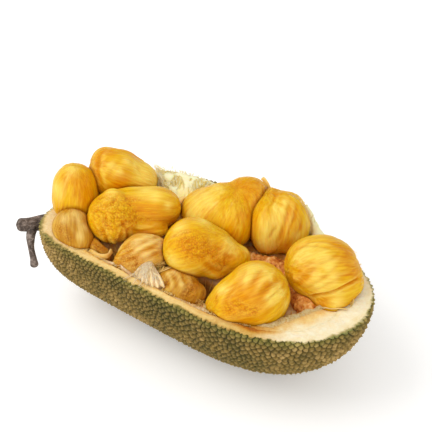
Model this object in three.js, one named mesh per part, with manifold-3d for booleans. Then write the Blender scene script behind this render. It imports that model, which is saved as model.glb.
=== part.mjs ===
// Half a jackfruit, cut lengthwise and lying on its rind, with its golden bulbs in the bowl.
// Millimetres, +Z up. The origin is the middle of the small flat spot that it rests on.
// Shapes are made in the rim's frame: X runs from the stem end to the tip, Y from the near
// wall to the far wall, and Z is 0 at the cut rim. One group then lifts them into place.
import * as THREE from 'three';
import { mergeVertices } from 'three/addons/utils/BufferGeometryUtils.js';
import Module from 'manifold-3d';

// ---- Driving dimensions ----
const HALF_LENGTH = 160; // from the middle of the fruit to either end, without the stalk
const NEAR_WIDTH = 80; // from the fruit's middle line to the near wall
const FAR_WIDTH = 88; // from the middle line to the far wall
const DEPTH = 97; // from the cut rim down to the round bottom
const LIFT = 45; // how far a bowl's closed shape goes on above the rim, before it is cut off
const BOW = 20; // how far the middle line bows towards the far wall
const SKEW = 34; // how much more it bows in the stem half than in the tip half
const WIDTH_POWERS = [1.95, 2.2]; // bluntness of the outline at the stem end and at the tip
const DEPTH_POWERS = [2.9, 2.2]; // bluntness of the side view at the two ends
const REST_HEIGHT = 95; // height of the rim above the flat spot that the half rests on
const WALL = 9; // rind and pith at the rim, along the two long sides
const STEM_WALL = 15; // rind and pith at the stem end
const TIP_WALL = 24; // rind and pith at the tip
const FLOOR_WALL = 14; // rind and pith at the bottom
const BED_TOP = -12; // level of the packed fibres between the bulbs
const PITH_TOP = -1; // level of the thick pith that fills the bowl at the tip
const PITH_EDGE = [110, -40]; // a point on the edge of that pith, seen from above
const PITH_TURN = -39; // direction in which the pith lies from its edge, in degrees
const GAP = 0.3; // clearance between neighbours that touch
const ROWS = 44; // steps along a bowl
const COLUMNS = 36; // steps around a bowl
const WELD = 1e-4; // corners closer than this are one corner
const FINE_LOBE = 22; // a lobe longer than this is made of more faces
const END_ROUNDNESS = 0.4; // how far a strip's end sticks out, as a share of its half thickness

// ---- Materials ----
const finish = (color, roughness) => new THREE.MeshStandardMaterial({ color, roughness, metalness: 0 });
const rindFinish = finish('#77743f', 0.8);
const ragFinish = finish('#f0dcae', 0.75);
const bulbFinish = finish('#eda51c', 0.42);
const palerBulbFinish = finish('#edb94c', 0.45);
const coreFinish = finish('#b36b33', 0.85);
const barkFinish = finish('#54463f', 0.9);

// ---- Solids ----
const wasm = await Module();
wasm.setup();

// A closed three.js mesh as a solid that can be joined and cut.
function solid(geometry) {
  const bare = geometry.clone();
  bare.deleteAttribute('normal');
  bare.deleteAttribute('uv');
  const merged = mergeVertices(bare, WELD);
  return new wasm.Manifold(new wasm.Mesh({
    numProp: 3,
    vertProperties: new Float32Array(merged.attributes.position.array),
    triVerts: new Uint32Array(merged.index.array),
  }));
}

function joined(solids) {
  return solids.reduce((whole, next) => whole.add(next));
}

function cutBy(whole, cutters) {
  return cutters.reduce((left, cutter) => left.subtract(cutter), whole);
}

function namedMesh(name, shape, material) {
  const { numProp, vertProperties, triVerts } = shape.getMesh();
  const geometry = new THREE.BufferGeometry();
  const positions = new THREE.InterleavedBuffer(vertProperties, numProp);
  geometry.setAttribute('position', new THREE.InterleavedBufferAttribute(positions, 3, 0));
  geometry.setIndex(new THREE.BufferAttribute(triVerts, 1));
  geometry.computeVertexNormals();
  const mesh = new THREE.Mesh(geometry, material);
  mesh.name = name;
  return mesh;
}

// Closed skin from rings of points: each ring joins the next, and each end closes on a point.
function skin(rings, firstEnd, lastEnd) {
  const size = rings[0].length;
  const points = [...rings.flat(), firstEnd, lastEnd];
  const first = points.length - 2;
  const last = points.length - 1;
  const faces = [];
  for (let side = 0; side < size; side += 1) {
    const next = (side + 1) % size;
    faces.push(first, next, side);
    for (let ring = 0; ring < rings.length - 1; ring += 1) {
      const here = ring * size;
      const there = here + size;
      faces.push(here + side, here + next, there + next, here + side, there + next, there + side);
    }
    const lastRing = (rings.length - 1) * size;
    faces.push(last, lastRing + side, lastRing + next);
  }
  const geometry = new THREE.BufferGeometry().setFromPoints(points);
  geometry.setIndex(faces);
  return geometry;
}

// ---- The fruit's outline ----
// 1 in the middle, falling to 0 at s = -1 (stem end) and s = 1 (tip).
function swell(s, [stemPower, tipPower]) {
  const power = s < 0 ? stemPower : tipPower;
  return (1 - Math.abs(s) ** power) ** (1 / power);
}

// The bowed middle line of the fruit, seen from above.
function middleLine(x) {
  const t = x / HALF_LENGTH;
  return (1 - t * t) * (BOW - SKEW * t);
}

// A closed pod around the middle line, from stemX to tipX.
function pod({ stemX, tipX, near, far, depth }) {
  const centre = (stemX + tipX) / 2;
  const half = (tipX - stemX) / 2;
  const rings = [];
  for (let row = 1; row < ROWS; row += 1) {
    const s = -Math.cos((row / ROWS) * Math.PI);
    const x = centre + half * s;
    const width = swell(s, WIDTH_POWERS);
    const height = swell(s, DEPTH_POWERS);
    const ring = [];
    for (let column = 0; column < COLUMNS; column += 1) {
      const angle = (column / COLUMNS) * 2 * Math.PI;
      const across = Math.cos(angle) * width;
      const upright = Math.sin(angle) * height;
      const y = middleLine(x) + across * (across > 0 ? far : near);
      ring.push(new THREE.Vector3(x, y, upright * (upright > 0 ? LIFT : depth)));
    }
    rings.push(ring);
  }
  const end = (x) => new THREE.Vector3(x, middleLine(x), 0);
  return solid(skin(rings, end(stemX), end(tipX)));
}

// Everything between two levels.
function slab(low, high) {
  const side = 4 * HALF_LENGTH;
  return solid(new THREE.BoxGeometry(side, side, high - low).translate(0, 0, (low + high) / 2));
}

// The space inside the wall; shrink leaves that much clearance all around it.
function hollow(shrink) {
  return pod({
    stemX: -HALF_LENGTH + STEM_WALL + shrink,
    tipX: HALF_LENGTH - TIP_WALL - shrink,
    near: NEAR_WIDTH - WALL - shrink,
    far: FAR_WIDTH - WALL - shrink,
    depth: DEPTH - FLOOR_WALL - shrink,
  });
}

// ---- Bulbs ----
// Each bulb is a few rounded lobes grown together: [x, y, z, length, width, height, turn].
// The sizes are from a lobe's middle to its skin; the turn is about the upright axis, in degrees.
const bulbLobes = {
  bulb_01: [[-137, 23, 27, 21, 20, 24, 24], [-135, 18, 14, 22, 20, 21, 24]],
  bulb_02: [[-110, 53, 29, 26, 23, 24, 24], [-92, 62, 21, 19, 18, 18, 24]],
  bulb_03: [[-62, 36, 16, 25, 20, 20, 24], [-92, 11, 14, 24, 24, 24, 24],
    [-80, 27, 15, 25, 21, 21, 24], [-93, 16, 36, 7, 6, 6, 0], [-57, 16, 6, 17, 8, 8, 24]],
  bulb_04: [[-126, -7, 4, 18, 18, 19, 24], [-116, -14, -1, 16, 14, 15, -24]],
  bulb_05: [[-51, -8, 1, 23, 18, 17, 24], [-55, -20, -5, 17, 13, 12, 20],
    [-62, -23, -4, 12, 11, 10, 24]],
  bulb_06: [[-8, 2, 13, 27, 27, 28, 20], [8, 8, 12, 22, 20, 20, 14],
    [27, 11, 6, 16, 13, 13, 14], [17, -4, 0, 11, 9, 8, 30]],
  bulb_07: [[-2, 57, 14, 32, 28, 27, 24], [16, 74, 20, 22, 22, 25, 24],
    [-20, 58, 10, 23, 21, 19, 24], [17, 49, 12, 18, 22, 23, 24]],
  bulb_08: [[42, 60, 10, 15, 26, 28, 24], [55, 70, 11, 19, 28, 29, 24],
    [38, 76, 20, 15, 16, 18, 24]],
  bulb_09: [[65, -27, 6, 29, 30, 31, 8], [50, -37, 3, 22, 24, 21, 15],
    [38, -41, -2, 14, 12, 10, 15]],
  bulb_10: [[109, 20, 15, 31, 29, 29, 10], [126, 19, 6, 21, 20, 20, 10],
    [126, 3, -4, 18, 15, 14, 10]],
  bulb_11: [[-12, -24, -8, 19, 15, 14, 24], [0, -35, -8, 19, 13, 13, 20]],
};
const paleBulbs = ['bulb_01', 'bulb_04', 'bulb_05', 'bulb_11'];
// From the one on top of its neighbours to the one that gives way to all of them.
const pressOrder = [9, 10, 6, 3, 7, 8, 5, 2, 11, 1, 4];

function lobe([x, y, z, length, width, height, turn], swelling) {
  const ball = new THREE.IcosahedronGeometry(1, length > FINE_LOBE ? 3 : 2);
  ball.scale(length + swelling, width + swelling, height + swelling);
  ball.rotateZ(THREE.MathUtils.degToRad(turn)).translate(x, y, z);
  return solid(ball);
}

function bulb(name, swelling = 0) {
  return joined(bulbLobes[name].map((sizes) => lobe(sizes, swelling)));
}

// ---- Strips and stalks ----
// A solid along a smooth line: each stop is [x, y, z, half width, half thickness].
function limb(stops, steps, sides) {
  const line = new THREE.CatmullRomCurve3(stops.map(([x, y, z]) => new THREE.Vector3(x, y, z)));
  const rings = [];
  for (let step = 0; step <= steps; step += 1) {
    const place = step / steps;
    const at = place * (stops.length - 1);
    const stop = Math.min(Math.floor(at), stops.length - 2);
    const mix = (index) => THREE.MathUtils.lerp(stops[stop][index], stops[stop + 1][index], at - stop);
    const centre = line.getPoint(place);
    const along = line.getTangent(place);
    const level = new THREE.Vector3(0, 0, 1).cross(along).normalize();
    const rise = along.clone().cross(level);
    const ring = [];
    for (let side = 0; side < sides; side += 1) {
      const angle = (side / sides) * 2 * Math.PI;
      ring.push(centre.clone()
        .addScaledVector(level, Math.cos(angle) * mix(3))
        .addScaledVector(rise, Math.sin(angle) * mix(4)));
    }
    rings.push(ring);
  }
  const stickOut = (place, sign, half) => line.getPoint(place)
    .addScaledVector(line.getTangent(place), sign * half * END_ROUNDNESS);
  return solid(skin(rings, stickOut(0, -1, stops[0][4]), stickOut(1, 1, stops[stops.length - 1][4])));
}

// ---- Build the pieces ----
const rind = pod({
  stemX: -HALF_LENGTH, tipX: HALF_LENGTH, near: NEAR_WIDTH, far: FAR_WIDTH, depth: DEPTH,
}).intersect(slab(-REST_HEIGHT, 0)).subtract(hollow(0));

const pieces = [namedMesh('rind_half', rind, rindFinish)];

const bulbNames = pressOrder.map((number) => `bulb_${String(number).padStart(2, '0')}`);
const bulbCutters = [];
for (const name of bulbNames) {
  const body = cutBy(bulb(name), [...bulbCutters, rind]);
  pieces.push(namedMesh(name, body, paleBulbs.includes(name) ? palerBulbFinish : bulbFinish));
  bulbCutters.push(bulb(name, GAP));
}

// A strip's stops with the touching clearance all round.
function swollen(stops) {
  return stops.map(([x, y, z, wide, thick]) => [x, y, z, wide + GAP, thick + GAP]);
}

const coreStops = [[36, 32, -12, 8, 8], [62, 28, -10, 11, 9], [88, 12, -11, 14, 12],
  [104, -5, -13, 12, 10], [115, -16, -15, 7, 8]];
const flapStops = [[-104, -13, -3, 4, 5], [-96, -17, -5, 6, 6], [-87, -18, -7, 4, 4]];
const tuftStops = [[-41, -22, -3, 7, 5], [-33, -32, -5, 9, 5], [-24, -42, -6, 7, 4]];
const ridgeStops = [[-102, 71, 4, 9, 12], [-80, 84, 5, 8, 13], [-58, 91, 2, 8, 12], [-32, 96, -2, 6, 9]];
const strips = [
  { name: 'core', stops: coreStops, steps: 12, sides: 10, material: coreFinish },
  { name: 'skin_flap', stops: flapStops, steps: 8, sides: 10, material: palerBulbFinish },
  { name: 'rag_tuft', stops: tuftStops, steps: 8, sides: 10, material: ragFinish },
  { name: 'rag_ridge', stops: ridgeStops, steps: 12, sides: 10, material: ragFinish },
];
const stripCutters = [];
for (const { name, stops, steps, sides, material } of strips) {
  const body = cutBy(limb(stops, steps, sides), [...bulbCutters, ...stripCutters, rind]);
  pieces.push(namedMesh(name, body, material));
  stripCutters.push(limb(swollen(stops), steps, sides));
}

// The bed of fibres, with the pith that rises to the rim at the tip.
const side = 4 * HALF_LENGTH;
const tipSide = solid(new THREE.BoxGeometry(side, side, 2 * REST_HEIGHT)
  .translate(side / 2, 0, 0)
  .rotateZ(THREE.MathUtils.degToRad(PITH_TURN))
  .translate(PITH_EDGE[0], PITH_EDGE[1], 0));
const filling = joined([slab(-REST_HEIGHT, BED_TOP), slab(-REST_HEIGHT, PITH_TOP).intersect(tipSide)]);
const bed = cutBy(hollow(GAP).intersect(filling), [...bulbCutters, ...stripCutters]);
pieces.push(namedMesh('rag_bed', bed, ragFinish));

const stubStops = [[-155, 5, -8, 9, 8.5], [-166, -6, -5, 7, 7], [-175, -13.5, -3, 6, 6]];
const twigStops = [[-165, -10, -5, 4.5, 4.5], [-164, -20, -13, 4, 4], [-162, -23, -25, 3.5, 3.5],
  [-160, -26, -40, 4.2, 4.2]];
const stalk = joined([limb(stubStops, 6, 10), limb(twigStops, 10, 8)]).subtract(rind);
pieces.push(namedMesh('stalk', stalk, barkFinish));

const jackfruit = new THREE.Group();
jackfruit.name = 'jackfruit';
const inRimFrame = new THREE.Group();
inRimFrame.position.set(0, -BOW, REST_HEIGHT);
inRimFrame.add(...pieces);
jackfruit.add(inRimFrame);
export default jackfruit;
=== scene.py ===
# %% [markdown]
# # Half a jackfruit on a table
# A ripe jackfruit was cut lengthwise with a knife. This half lies on its rind, with its golden
# bulbs loosened in the bowl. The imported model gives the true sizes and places, in metres, with
# the origin at the flat spot under the rind. Everything here is built around it in that frame.

import math

import bmesh
import bpy
import numpy as np
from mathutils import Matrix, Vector
from mathutils.bvhtree import BVHTree
from mathutils.kdtree import KDTree


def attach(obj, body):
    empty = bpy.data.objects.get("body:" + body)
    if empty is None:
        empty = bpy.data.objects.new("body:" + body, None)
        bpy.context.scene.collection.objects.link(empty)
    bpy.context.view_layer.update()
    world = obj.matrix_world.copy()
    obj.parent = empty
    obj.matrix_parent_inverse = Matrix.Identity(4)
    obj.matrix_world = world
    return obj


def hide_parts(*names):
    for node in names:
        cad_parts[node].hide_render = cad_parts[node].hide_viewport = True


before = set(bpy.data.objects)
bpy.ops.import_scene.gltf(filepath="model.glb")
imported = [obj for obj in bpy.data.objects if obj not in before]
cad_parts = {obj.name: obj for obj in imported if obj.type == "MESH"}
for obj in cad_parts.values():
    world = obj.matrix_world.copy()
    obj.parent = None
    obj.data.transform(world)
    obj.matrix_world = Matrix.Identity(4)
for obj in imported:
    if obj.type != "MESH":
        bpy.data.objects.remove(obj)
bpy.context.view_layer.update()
print("nodes in the frame:", len(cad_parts))

# %% [markdown]
# ## Camera
# The half is seen from above and a little to the right of its long side, from about 1.2 m away
# with a long lens, so that the far end looks nearly as large as the near end. A camera has no
# size of its own in the picture: only where it stands, where it looks and how wide it sees matter.

# %% Camera
MM = 0.001
RIM = 95.0  # height of the cut rim over the table, mm
BOW = 20.0  # how far the fruit's middle line bows towards the far wall, mm
AZIMUTH, ELEVATION, DISTANCE = math.radians(24), math.radians(42), 1200.0
FOCAL_PIXELS, PICTURE_PIXELS = 1330.0, 433.0
# The rim's middle sits left of and below the frame's middle by this many pixels.
LEFT_OF_MIDDLE, BELOW_MIDDLE = 16.9, 45.4

rim_middle = Vector((0, -BOW, RIM))
away = Vector((math.sin(AZIMUTH) * math.cos(ELEVATION),
               -math.cos(AZIMUTH) * math.cos(ELEVATION), math.sin(ELEVATION)))
rightwards = Vector((math.cos(AZIMUTH), math.sin(AZIMUTH), 0))
upwards = away.cross(rightwards)
aim = (-away + rightwards * (LEFT_OF_MIDDLE / FOCAL_PIXELS)
       + upwards * (BELOW_MIDDLE / FOCAL_PIXELS)).normalized()

camera_data = bpy.data.cameras.new("camera")
camera = bpy.data.objects.new("camera", camera_data)
bpy.context.scene.collection.objects.link(camera)
camera_data.sensor_width = 36.0
camera_data.lens = 36.0 * FOCAL_PIXELS / PICTURE_PIXELS
camera_data.clip_end = 20.0
camera.location = (rim_middle + away * DISTANCE) * MM
camera.rotation_euler = aim.to_track_quat("-Z", "Y").to_euler()
bpy.context.scene.camera = camera
print("lens", round(camera_data.lens, 1), "mm")

# %% [markdown]
# ## Colours, nodes and meshes
# Colours are written as sRGB hex values, the way a painter's chart gives them, and turned to the
# linear values that a shader works with. One function adds any node. Shapes are worked out in
# millimetres with numpy, and one function turns points and faces into a mesh piece.

# %% Colour and node helpers
def colour(hex_code):
    """An sRGB hex colour as linear RGBA."""
    channels = [int(hex_code[i:i + 2], 16) / 255 for i in (1, 3, 5)]
    linear = [c / 12.92 if c <= 0.04045 else ((c + 0.055) / 1.055) ** 2.4 for c in channels]
    return (*linear, 1.0)


def add(material, kind, inputs=None, stops=None, **settings):
    """Adds a node to the material, with its settings, its input values and its links. Stops are
    the (position, hex colour) pairs of a colour ramp."""
    node = material.node_tree.nodes.new(kind)
    for name, value in settings.items():
        setattr(node, name, value)
    for socket, value in (inputs or {}).items():
        if isinstance(value, bpy.types.NodeSocket):
            material.node_tree.links.new(value, node.inputs[socket])
        else:
            node.inputs[socket].default_value = value
    if stops:
        elements = node.color_ramp.elements
        elements.remove(elements[-1])
        elements[0].position, elements[0].color = stops[0][0], colour(stops[0][1])
        for position, hex_code in stops[1:]:
            elements.new(position).color = colour(hex_code)
    return node


def new_material(name):
    """An empty node material."""
    material = bpy.data.materials.new(name)
    material.use_nodes = True
    material.node_tree.nodes.clear()
    return material


# %% Mesh helpers
def new_piece(name, points, faces):
    """A smooth-shaded mesh object from points in millimetres."""
    mesh = bpy.data.meshes.new(name)
    mesh.from_pydata((np.asarray(points) * MM).tolist(), [], [list(map(int, f)) for f in faces])
    mesh.validate()
    mesh.shade_smooth()
    piece = bpy.data.objects.new(name, mesh)
    bpy.context.scene.collection.objects.link(piece)
    return piece


def ring_faces(rows, columns):
    """Four-sided faces between rows of points, where each row closes into a ring."""
    number = np.arange(rows * columns).reshape(rows, columns)
    after = np.roll(number, -1, axis=1)
    return np.stack([number[:-1], after[:-1], after[1:], number[1:]], axis=-1).reshape(-1, 4)


def unit(vectors):
    """The same directions, all one long."""
    return vectors / np.maximum(np.linalg.norm(vectors, axis=-1, keepdims=True), 1e-6)


def tree_of(points):
    """A search tree over the points."""
    tree = KDTree(len(points))
    for i, place in enumerate(points):
        tree.insert(place, i)
    tree.balance()
    return tree


def paint(piece, name, values):
    """A number, or a vector, for every point, which the material reads by name."""
    values = np.asarray(values, np.float32)
    kind, field = ("FLOAT", "value") if values.ndim == 1 else ("FLOAT_VECTOR", "vector")
    attribute = piece.data.attributes.new(name, kind, "POINT")
    attribute.data.foreach_set(field, values.ravel())


def set_down(piece, slot, *nodes):
    """Says that the piece rides on the only body and which nodes it replaces. The slot, which finish it
    wears, is not used.
    """
    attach(piece, "root")
    if nodes:
        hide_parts(*nodes)
    print(piece.name, len(piece.data.polygons), "faces")


# %% [markdown]
# ## Smooth noise
# Grown things are never even. One noise function, a lattice of random values blended smoothly,
# gives every bump, wander and blotch in the shapes below. The seed keeps each run the same.

# %% Noise
def noise(points, size, seed=0):
    """Smooth random values from -1 to 1 that change over about `size` millimetres."""
    places = np.asarray(points, float) / size + 1000.0 + 17.3 * seed
    corner = np.floor(places).astype(np.int64)
    part = places - corner
    part = part * part * (3 - 2 * part)
    total = np.zeros(len(places))
    for step in range(8):
        offset = np.array([step & 1, step >> 1 & 1, step >> 2 & 1])
        cell = corner + offset
        mixed = (cell[:, 0] * 73856093) ^ (cell[:, 1] * 19349663) ^ (cell[:, 2] * 83492791)
        mixed = mixed ^ (seed * 2654435)
        mixed = (mixed ^ (mixed >> 13)) * 1274126177 & 0x7FFFFFFF
        value = ((mixed ^ (mixed >> 16)) & 0xFFFF) / 32767.5 - 1.0
        total += value * np.prod(np.where(offset == 1, part, 1 - part), axis=1)
    return total


def rough_noise(points, size, seed=0, layers=3):
    """Noise with finer and weaker layers on top."""
    return sum(noise(points, size / 2 ** n, seed + n) / 2 ** n for n in range(layers)) / 1.75


def ease(values, low, high):
    """0 below low, 1 above high, and a smooth step between."""
    t = np.clip((np.asarray(values, float) - low) / (high - low), 0, 1)
    return t * t * (3 - 2 * t)


# %% [markdown]
# ## The fruit's outline
# The half is a long bowl: blunt at both ends, bowed a little towards the far wall, 97 mm deep
# below the cut. The same few numbers drive the frame, so the fine surface lands on its solid.
# A closed pod is made for the outside and a smaller one for the inside of the wall.

# %% Outline of the fruit
HALF_LENGTH, NEAR_WIDTH, FAR_WIDTH, DEPTH, SKEW = 160.0, 80.0, 88.0, 97.0, 34.0
WIDTH_POWERS, DEPTH_POWERS = (1.95, 2.2), (2.9, 2.2)
WALL, STEM_WALL, TIP_WALL, FLOOR_WALL = 9.0, 15.0, 24.0, 14.0


def swell(s, powers):
    """1 in the middle of the fruit, falling to 0 at s = -1, the stem end, and s = 1, the tip."""
    power = np.where(s < 0, powers[0], powers[1])
    return np.clip(1 - np.abs(s) ** power, 0, 1) ** (1 / power)


def middle_line(x):
    """How far the fruit's bent middle line lies towards the far wall, in mm."""
    t = x / HALF_LENGTH
    return (1 - t * t) * (BOW - SKEW * t) - BOW


def on_pod(s, angle, inset=0.0, tip_inset=0.0, stem_inset=0.0, floor_inset=0.0):
    """Points on the fruit's skin, or on a smaller pod inside it. Angle 0 is the far wall."""
    low, high = -HALF_LENGTH + stem_inset, HALF_LENGTH - tip_inset
    x = (low + high) / 2 + (high - low) / 2 * s
    across = np.cos(angle) * swell(s, WIDTH_POWERS)
    width = np.where(across > 0, FAR_WIDTH, NEAR_WIDTH) - inset
    z = RIM + np.sin(angle) * swell(s, DEPTH_POWERS) * (DEPTH - floor_inset)
    return np.stack(np.broadcast_arrays(x, middle_line(x) + across * width, z), axis=-1)


# %% [markdown]
# ## Rind: where the bumps stand
# The rind is covered in short thorny bumps, each on its own many-sided cell, 4 mm across near the
# stem and nearly 6 mm near the tip. A texture could fake them, but the outline of the fruit is bumpy
# too, so each cell is real geometry. First come the bumps' places: turned on by the golden angle
# as a growing fruit sets them, jogged, and then pushed apart until they sit evenly.

# %% Bump places
STEM_PITCH, TIP_PITCH = 4.1, 5.6  # from one bump to the next, mm
CELL_SHARE = 0.866  # a six-sided cell takes this share of the square of the pitch
GOLDEN_ANGLE = math.pi * (3 - math.sqrt(5))
SLICES, SIDES = 1500, 120  # the skin's area is measured on this many slices with this many sides
rng = np.random.default_rng(7)


def pitch_at(x):
    """The distance from one bump to the next at this place along the fruit, in mm."""
    return STEM_PITCH + (TIP_PITCH - STEM_PITCH) * ease(x, -130, 60)


rows = np.linspace(-0.99999, 0.99999, SLICES)
around = np.linspace(0, 2 * math.pi, SIDES + 1)
sections = on_pod(rows[:, None], around[None, :])
girth = np.linalg.norm(np.diff(sections, axis=1), axis=2).sum(axis=1)
middles = (girth[1:] + girth[:-1]) / 2
spine = sections[:, SIDES // 4]
run = np.linalg.norm(np.diff(spine, axis=0), axis=1)
cell_area = CELL_SHARE * pitch_at(spine[1:, 0]) ** 2
cells_up_to = np.concatenate([[0], np.cumsum(middles * run / cell_area)])
bump_count = int(cells_up_to[-1])
order = np.arange(bump_count) + 0.5
bump_s = np.interp(order, cells_up_to, rows)
bump_angle = order * GOLDEN_ANGLE + rng.normal(0, 0.02, bump_count)
print("bumps for the whole pod:", bump_count)

# %% Smooth pod under the bumps
POD_ROWS, POD_COLUMNS = 260, 240
pod_s = -np.cos(np.linspace(0.004, math.pi - 0.004, POD_ROWS))
pod_angle = np.linspace(0, 2 * math.pi, POD_COLUMNS, endpoint=False)
pod_points = on_pod(pod_s[:, None], pod_angle[None, :]).reshape(-1, 3)
pod_tree = BVHTree.FromPolygons([Vector(p) for p in pod_points], ring_faces(POD_ROWS, POD_COLUMNS).tolist())
pod_middle = np.array([0, 0, RIM - 20])


def onto_pod(points):
    """The nearest places on the skin, and the outward directions there."""
    places, normals = np.empty((len(points), 3)), np.empty((len(points), 3))
    for i, point in enumerate(points):
        place, normal, _, _ = pod_tree.find_nearest(Vector(point))
        places[i], normals[i] = place, normal
    facing = np.sum(normals * (places - pod_middle), axis=1)
    return places, normals * np.where(facing < 0, -1, 1)[:, None]


# %% Bumps pushed apart
JOG = 0.8  # how far a bump stands off its even place, mm
PUSHES, PUSH = 5, 0.35  # how often too close bumps part, and by which share of what they lack
SPARE = 9.0  # bumps are kept this far above the rim, so that the cut goes through whole ones, mm

bumps = on_pod(bump_s, bump_angle) + rng.normal(0, JOG, (bump_count, 3))
for _ in range(PUSHES):
    tree = tree_of(bumps)
    moved = bumps.copy()
    for i, place in enumerate(bumps):
        wanted = pitch_at(place[0]) * 1.05
        for other, j, distance in tree.find_n(place, 8):
            if j != i and distance < wanted:
                moved[i] += (place - np.array(other)) * PUSH * (wanted - distance) / max(distance, 0.1)
    bumps, bump_normals = onto_pod(moved)
kept = bumps[:, 2] < RIM + SPARE
bumps, bump_normals = bumps[kept], bump_normals[kept]
print("bumps on the rind:", len(bumps))

# %% [markdown]
# ## Rind: a cell around each bump
# Each bump's cell is the ground nearer to it than to any neighbour. On the flat patch around the
# bump, a square is cut by the line halfway to each neighbour, and what is left is the cell. Its
# corners are shared with the cells next door, so that the skin closes without a gap.

# %% Cells
REACH = 12.0  # half the side of the square that a cell is cut from, mm


def clipped(polygon, normal, limit, label):
    """The part of the polygon where point . normal is at most limit. A side keeps its label."""
    out = []
    for (point, side), (after, _) in zip(polygon, polygon[1:] + polygon[:1]):
        here, there = point @ normal - limit, after @ normal - limit
        if here <= 0:
            out.append((point, side))
        if here * there < 0:
            crossing = point + (after - point) * (here / (here - there))
            out.append((crossing, label if here <= 0 else side))
    return out


tree = tree_of(bumps)
corner_sums, cells = {}, []
for i, (place, normal) in enumerate(zip(bumps, bump_normals)):
    along = unit(np.cross(normal, [0.31, 0.2, 0.93]))
    sideways = np.cross(normal, along)
    polygon = [(np.array(c) * REACH, -1) for c in ((-1, -1), (1, -1), (1, 1), (-1, 1))]
    for other, j, _ in tree.find_n(place, 16):
        if j == i:
            continue
        step = np.array(other) - place
        flat = np.array([step @ along, step @ sideways])
        polygon = clipped(polygon, flat, flat @ flat / 2, j)
    labels = [side for _, side in polygon]
    if min(labels) < 0:
        continue
    keys = []
    for n, (point, side) in enumerate(polygon):
        key = tuple(sorted((i, labels[n - 1], side)))
        spot = place + along * point[0] + sideways * point[1]
        total = corner_sums.setdefault(key, [np.zeros(3), 0])
        total[0] += spot
        total[1] += 1
        keys.append(key)
    cells.append((i, keys))
corner_keys = list(corner_sums)
corner_number = {key: n for n, key in enumerate(corner_keys)}
corner_points = np.array([corner_sums[key][0] / corner_sums[key][1] for key in corner_keys])

# %% Corners that are one
WELD = 0.5  # corners closer together than this are one corner, mm
tree = tree_of(corner_points)
same_as = list(range(len(corner_points)))
for i, place in enumerate(corner_points):
    if same_as[i] == i:
        for _, j, _ in tree.find_range(place, WELD):
            if j > i and same_as[j] == j:
                same_as[j] = i
print("cells:", len(cells), "corners:", len(set(same_as)))

# %% [markdown]
# ## Rind: raising the bumps
# Every cell becomes a short blunt thorn: a groove all round that its neighbours share, a steep
# side, a shoulder and a small worn tip. Each one leans and stands a little differently. Where the
# fruit rests on the table its bumps are pressed flat.

# %% Raised skin
GROOVE, SHOULDER, TOP = -0.9, 0.6, 1.6  # heights over the fruit's mean surface, mm
SHOULDER_AT, TOP_AT = 0.34, 0.82  # how far in from the groove towards the middle of the bump

skin_points, skin_groove, skin_tint, skin_faces = [], [], [], []
ring_of_corner = {}


def skin_point(point, groove, tint):
    """Keeps a point of the skin and gives its number."""
    skin_points.append(point)
    skin_groove.append(groove)
    skin_tint.append(tint)
    return len(skin_points) - 1


corner_places, corner_normals = onto_pod(corner_points)
for i, keys in cells:
    corners = []
    for key in keys:
        corner = same_as[corner_number[key]]
        if not corners or corners[-1] != corner:
            corners.append(corner)
    if len(corners) > 1 and corners[0] == corners[-1]:
        corners.pop()
    if len(corners) < 3:
        continue
    tint = rng.random()
    edge = []
    for corner in corners:
        if corner not in ring_of_corner:
            place = corner_places[corner] + corner_normals[corner] * GROOVE
            ring_of_corner[corner] = skin_point(place, 0.0, 0.5)
        edge.append(ring_of_corner[corner])
    normal = bump_normals[i]
    size = pitch_at(bumps[i][0]) / 5.0
    height = size * rng.uniform(0.8, 1.25)
    lean = np.cross(normal, rng.normal(0, 0.45, 3)) * size
    middle = bumps[i] + lean
    rings = [edge]
    for share, level, groove in ((SHOULDER_AT, SHOULDER, 0.6), (TOP_AT, TOP, 0.9)):
        ring = []
        for corner in edge:
            foot = np.array(skin_points[corner]) - normal * GROOVE
            place = foot + (middle - foot) * share + normal * level * height
            ring.append(skin_point(place, groove, tint))
        rings.append(ring)
    top = skin_point(middle + normal * (TOP * height + 0.25), 1.0, tint)
    for outer, inner in zip(rings, rings[1:]):
        for n in range(len(edge)):
            after = (n + 1) % len(edge)
            skin_faces.append((outer[n], outer[after], inner[after], inner[n]))
    for n in range(len(edge)):
        skin_faces.append((rings[-1][n], rings[-1][(n + 1) % len(edge)], top))
skin_points = np.array(skin_points)
print("skin points:", len(skin_points), "faces:", len(skin_faces))

# %% [markdown]
# ## Rind: the knife's cut and the pith
# The knife went through the rind and the cream pith under it. The bumpy skin is cut off level, and
# its saw-edged outline stays. A band of pith is laid from just inside that outline to the inner
# edge, and the wall goes on down inside the bowl, so the rind is one closed piece. The band is
# narrow along the sides and wide at the tip, where the pith is thickest.

# %% Cut the skin at the rim
skin_bm = bmesh.new()
groove_layer = skin_bm.verts.layers.float.new("groove")
tint_layer = skin_bm.verts.layers.float.new("tint")
depth_layer = skin_bm.verts.layers.float.new("pith_depth")
for point, groove, tint in zip(skin_points, skin_groove, skin_tint):
    vert = skin_bm.verts.new(point)
    vert[groove_layer], vert[tint_layer] = groove, tint
skin_bm.verts.ensure_lookup_table()
for face in skin_faces:
    if len(set(face)) == len(face) and not skin_bm.faces.get([skin_bm.verts[n] for n in face]):
        skin_bm.faces.new([skin_bm.verts[n] for n in face])
bmesh.ops.bisect_plane(skin_bm, geom=skin_bm.verts[:] + skin_bm.edges[:] + skin_bm.faces[:],
                       plane_co=(0, 0, RIM), plane_no=(0, 0, 1), clear_outer=True, dist=0.02)
bmesh.ops.holes_fill(skin_bm, edges=[e for e in skin_bm.edges if e.is_boundary and
                                     max(v.co.z for v in e.verts) < RIM - 0.5], sides=0)
skin_edge = [e for e in skin_bm.edges if e.is_boundary]
print("edges along the cut:", len(skin_edge))

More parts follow.
